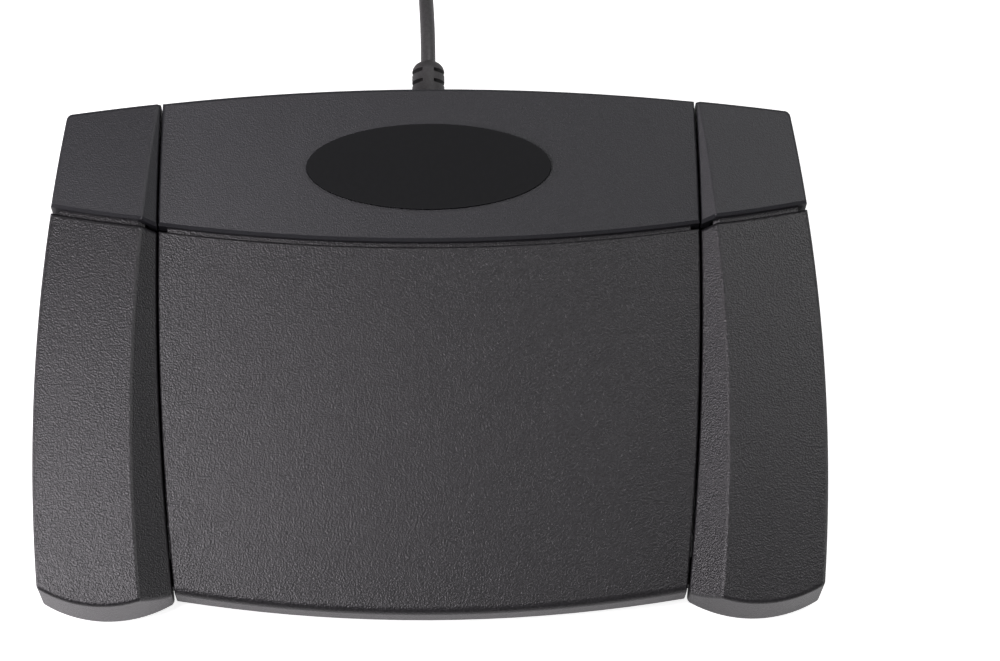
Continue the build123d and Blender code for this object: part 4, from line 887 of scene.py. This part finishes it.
@dataclass
class Cord:
    """The cord: out of the relief, down to the floor, put away in a round coil, then to its plug.

    All its measures are in millimetres.
    """

    lead_in: tuple[Triple, ...] = (
        (0, 95, 16), (0, 105, 16), (-0.7, 121, 10.6), (-1.2, 139, 2.25), (-0.5, 151.5, 2.25)
    )
    lead_out: tuple[Triple, ...] = (
        (2.15, 184, 20.25), (0.4, 196.5, 16.2), (-6.3, 207.6, 10.9), (-17.5, 214.3, 5.9),
        (-31, 216, 3.75), (-44, 216, 3.75),
    )
    radius: float = 2.25
    coil_x: float = -32.0
    coil_y: float = 168.0
    outer: float = 31.5
    pitch: float = 5.3
    layer: float = 6.0
    half_turns: int = 7
    layers: int = 4
    reversal: float = 0.8
    per_half: int = 6

    def turn_ends(self) -> list[Vector]:
        """Where the coil's half turns meet.

        Returns:
            Their points.
        """
        reach, height = self.outer, self.radius
        ends = [(reach, height)]
        for layer in range(self.layers):
            inward = layer % 2 == 0
            halves = self.half_turns + (1 if layer == self.layers - 1 else 0)
            innermost = halves - 1 if inward else 0
            for half in range(halves):
                step = self.pitch / 2 + (self.reversal if half == innermost else 0)
                reach += -step if inward else step
                ends.append((reach, height))
            if layer < self.layers - 1:
                height += self.layer
                ends.append((reach, height))
        return [
            Vector((self.coil_x + (reach if place % 2 == 0 else -reach), self.coil_y, height))
            for place, (reach, height) in enumerate(ends)
        ]

    def route(self) -> list[Vector]:
        """The control points of the whole cord.

        Returns:
            Them, from the strain relief to the plug.
        """
        route = [Vector(point) for point in self.lead_in]
        ends = self.turn_ends()
        widen = 1 / math.cos(math.pi / self.per_half / 2)
        for place, (start, end) in enumerate(zip(ends, ends[1:])):
            middle, half = (start + end) / 2, (start - end) / 2
            bulge = half.length if place % 2 == 0 else -half.length
            for step in range(self.per_half):
                angle = (step + 0.5) * math.pi / self.per_half
                side = Vector((0, bulge * math.sin(angle) * widen, 0))
                route.append(middle + half * (math.cos(angle) * widen) + side)
        return route + [Vector(point) for point in self.lead_out]

    def build(self) -> None:
        """Lays the cord."""
        route = self.route()
        curve = bpy.data.curves.new("usb_cable", "CURVE")
        curve.dimensions = "3D"
        curve.resolution_u = 4
        curve.bevel_depth = self.radius * MM
        curve.bevel_resolution = 4
        curve.use_fill_caps = True
        line = curve.splines.new("NURBS")
        line.points.add(len(route) - 1)
        for point, place in zip(line.points, route):
            point.co = (*(place * MM), 1.0)
        line.order_u = 3
        line.use_endpoint_u = True
        curve.materials.append(VINYL.material())
        cable = bpy.data.objects.new("usb_cable", curve)
        bpy.context.scene.collection.objects.link(cable)
        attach(cable, "housing")
        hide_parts("usb_cord", "usb_cord_coil", "usb_cord_tail")
        LOG.info("laid the cord on %d points", len(route))


@dataclass
class View:
    """The photograph's camera, above and in front of the object, in degrees and millimetres."""

    elevation: float = 72.0
    roll: float = -0.28
    place: Triple = (0.0, -261.4, 829.8)
    lens: float = 104.34
    shift_x: float = 0.0704
    shift_y: float = 0.0195

    def build(self) -> None:
        """Sets up the camera."""
        data = bpy.data.cameras.new("view")
        data.sensor_width = 36.0
        data.lens = self.lens
        data.shift_x = self.shift_x
        data.shift_y = self.shift_y
        data.clip_start, data.clip_end = 0.05, 20.0
        tilt = math.radians(self.elevation)
        back = Vector((0, -math.cos(tilt), math.sin(tilt)))
        level = Vector((1, 0, 0))
        upward = back.cross(level)
        roll = math.radians(self.roll)
        right = math.cos(roll) * level + math.sin(roll) * upward
        top = -math.sin(roll) * level + math.cos(roll) * upward
        camera = bpy.data.objects.new("view", data)
        turn = Matrix((right, top, back)).transposed().to_4x4()
        camera.matrix_world = Matrix.Translation(Vector(self.place) * MM) @ turn
        bpy.context.scene.collection.objects.link(camera)
        bpy.context.scene.camera = camera


@dataclass
class Lamp:
    """One soft lamp, aimed at a point."""

    name: str
    place: Triple
    aim: Triple
    size: tuple[float, float]
    power: float
    color: Color = (1.0, 1.0, 1.0)

    def build(self) -> None:
        """Hangs the lamp."""
        data = bpy.data.lights.new(self.name, "AREA")
        data.shape = "RECTANGLE"
        data.size, data.size_y = self.size
        data.energy = self.power
        data.color = self.color
        lamp = bpy.data.objects.new(self.name, data)
        lamp.location = self.place
        lamp.rotation_mode = "QUATERNION"
        lamp.rotation_quaternion = (Vector(self.aim) - Vector(self.place)).to_track_quat("-Z", "Y")
        bpy.context.scene.collection.objects.link(lamp)


def strength_by_ray(tree: bpy.types.NodeTree, lighting: float, mirrored: float) -> bpy.types.NodeSocket:
    """A glow that is white where the camera sees it, and dimmer for other rays.

    Args:
        tree: Where the nodes go.
        lighting: Its strength for rays that light other surfaces.
        mirrored: Its strength in reflections and through clear surfaces.

    Returns:
        The strength socket.
    """
    path = tree.nodes.new("ShaderNodeLightPath")
    level = None
    strengths = {"Is Glossy Ray": mirrored, "Is Transmission Ray": mirrored, "Is Camera Ray": 1.0}
    for ray, strength in strengths.items():
        step = tree.nodes.new("ShaderNodeMapRange")
        step.inputs["To Min"].default_value = lighting
        step.inputs["To Max"].default_value = strength
        tree.links.new(path.outputs[ray], step.inputs["Value"])
        if level:
            tree.links.new(level, step.inputs["To Min"])
        level = step.outputs["Result"]
    return level


@dataclass
class Studio:
    """Pale floor, white surroundings and five soft lamps."""

    floor_half: float = 6.0
    floor_gap: float = 0.02 * MM
    ambient: float = 0.07
    mirrored: float = 0.22
    near_glow: float = 0.86
    glow_reach: tuple[float, float] = (0.5, 2.5)
    floor_color: Color = (0.86, 0.86, 0.86)
    floor_cloud: Color = (0.88, 0.88, 0.88)
    floor_scale: float = 3.0
    floor_roughness: float = 0.9
    floor_gloss: float = 0.1
    tint: Color = (1.0, 0.95, 1.0)

    def surroundings(self) -> None:
        """Makes the world: white where it is seen, dimmer where it is mirrored or lights."""
        world = bpy.data.worlds.new("surroundings")
        world.use_nodes = True
        tree = world.node_tree
        sky = tree.nodes["Background"]
        sky.inputs["Color"].default_value = (1.0, 1.0, 1.0, 1.0)
        tree.links.new(strength_by_ray(tree, self.ambient, self.mirrored), sky.inputs["Strength"])
        bpy.context.scene.world = world

    def floor(self) -> None:
        """Lays the pale floor, which keeps the object's soft shadow."""
        body = bmesh.new()
        bmesh.ops.create_grid(body, x_segments=1, y_segments=1, size=self.floor_half)
        for corner in body.verts:
            corner.co.z = -self.floor_gap
        mesh = bpy.data.meshes.new("floor")
        body.to_mesh(mesh)
        body.free()
        bench = Bench("pale_floor")
        place = bench.add("ShaderNodeTexCoord").outputs["Object"]
        cloud = bench.spread(bench.noise(place, self.floor_scale, 2.0), CLOUD_EDGE)
        color = bench.blend(cloud, self.floor_color, self.floor_cloud)
        bench.join(color, bench.shader.inputs["Base Color"])
        bench.shader.inputs["Roughness"].default_value = self.floor_roughness
        bench.shader.inputs["Specular IOR Level"].default_value = self.floor_gloss
        reach = bench.add("ShaderNodeVectorMath", settings={"operation": "LENGTH"})
        bench.join(place, reach.inputs[0])
        far = bench.spread(reach.outputs["Value"], self.glow_reach)
        shown = bench.blend(far, (self.near_glow,) * 3, (1.0, 1.0, 1.0))
        bench.join(shown, bench.shader.inputs["Emission Color"])
        glow = strength_by_ray(bench.tree, 0.0, self.mirrored)
        bench.join(glow, bench.shader.inputs["Emission Strength"])
        mesh.materials.append(bench.material)
        floor = bpy.data.objects.new("floor", mesh)
        bpy.context.scene.collection.objects.link(floor)

    def build(self) -> None:
        """Sets the stage and hangs the lamps."""
        bpy.context.scene.view_settings.view_transform = "Standard"
        self.surroundings()
        self.floor()
        for lamp in (
            Lamp("key", (-0.22, -0.10, 0.38), (-0.10, -0.03, 0.02), (0.12, 0.20), 1.25, self.tint),
            Lamp("low_left", (-0.85, -0.10, 0.24), (0.05, -0.02, 0.03), (0.30, 0.20), 3.5, self.tint),
            Lamp("back", (0.25, 0.45, 0.85), (0.04, 0.04, 0.03), (0.50, 0.30), 1.1),
            Lamp("top_right", (0.28, 0.12, 0.50), (0.08, 0.04, 0.03), (0.20, 0.20), 0.5),
            Lamp("low_right", (0.85, -0.10, 0.35), (0.0, 0.0, 0.03), (0.40, 0.30), 1.7),
        ):
            lamp.build()


def main() -> None:
    """Builds the scene piece by piece."""
    logging.basicConfig(level=logging.INFO, format="%(message)s")
    View().build()
    Cord().build()
    Studio().build()
    dress_nodes()
    scatter = Scatter()
    Fasteners(scatter).build()
    Springs().build()
    BoardDetails(scatter).build()


if __name__ == "__main__":
    main()
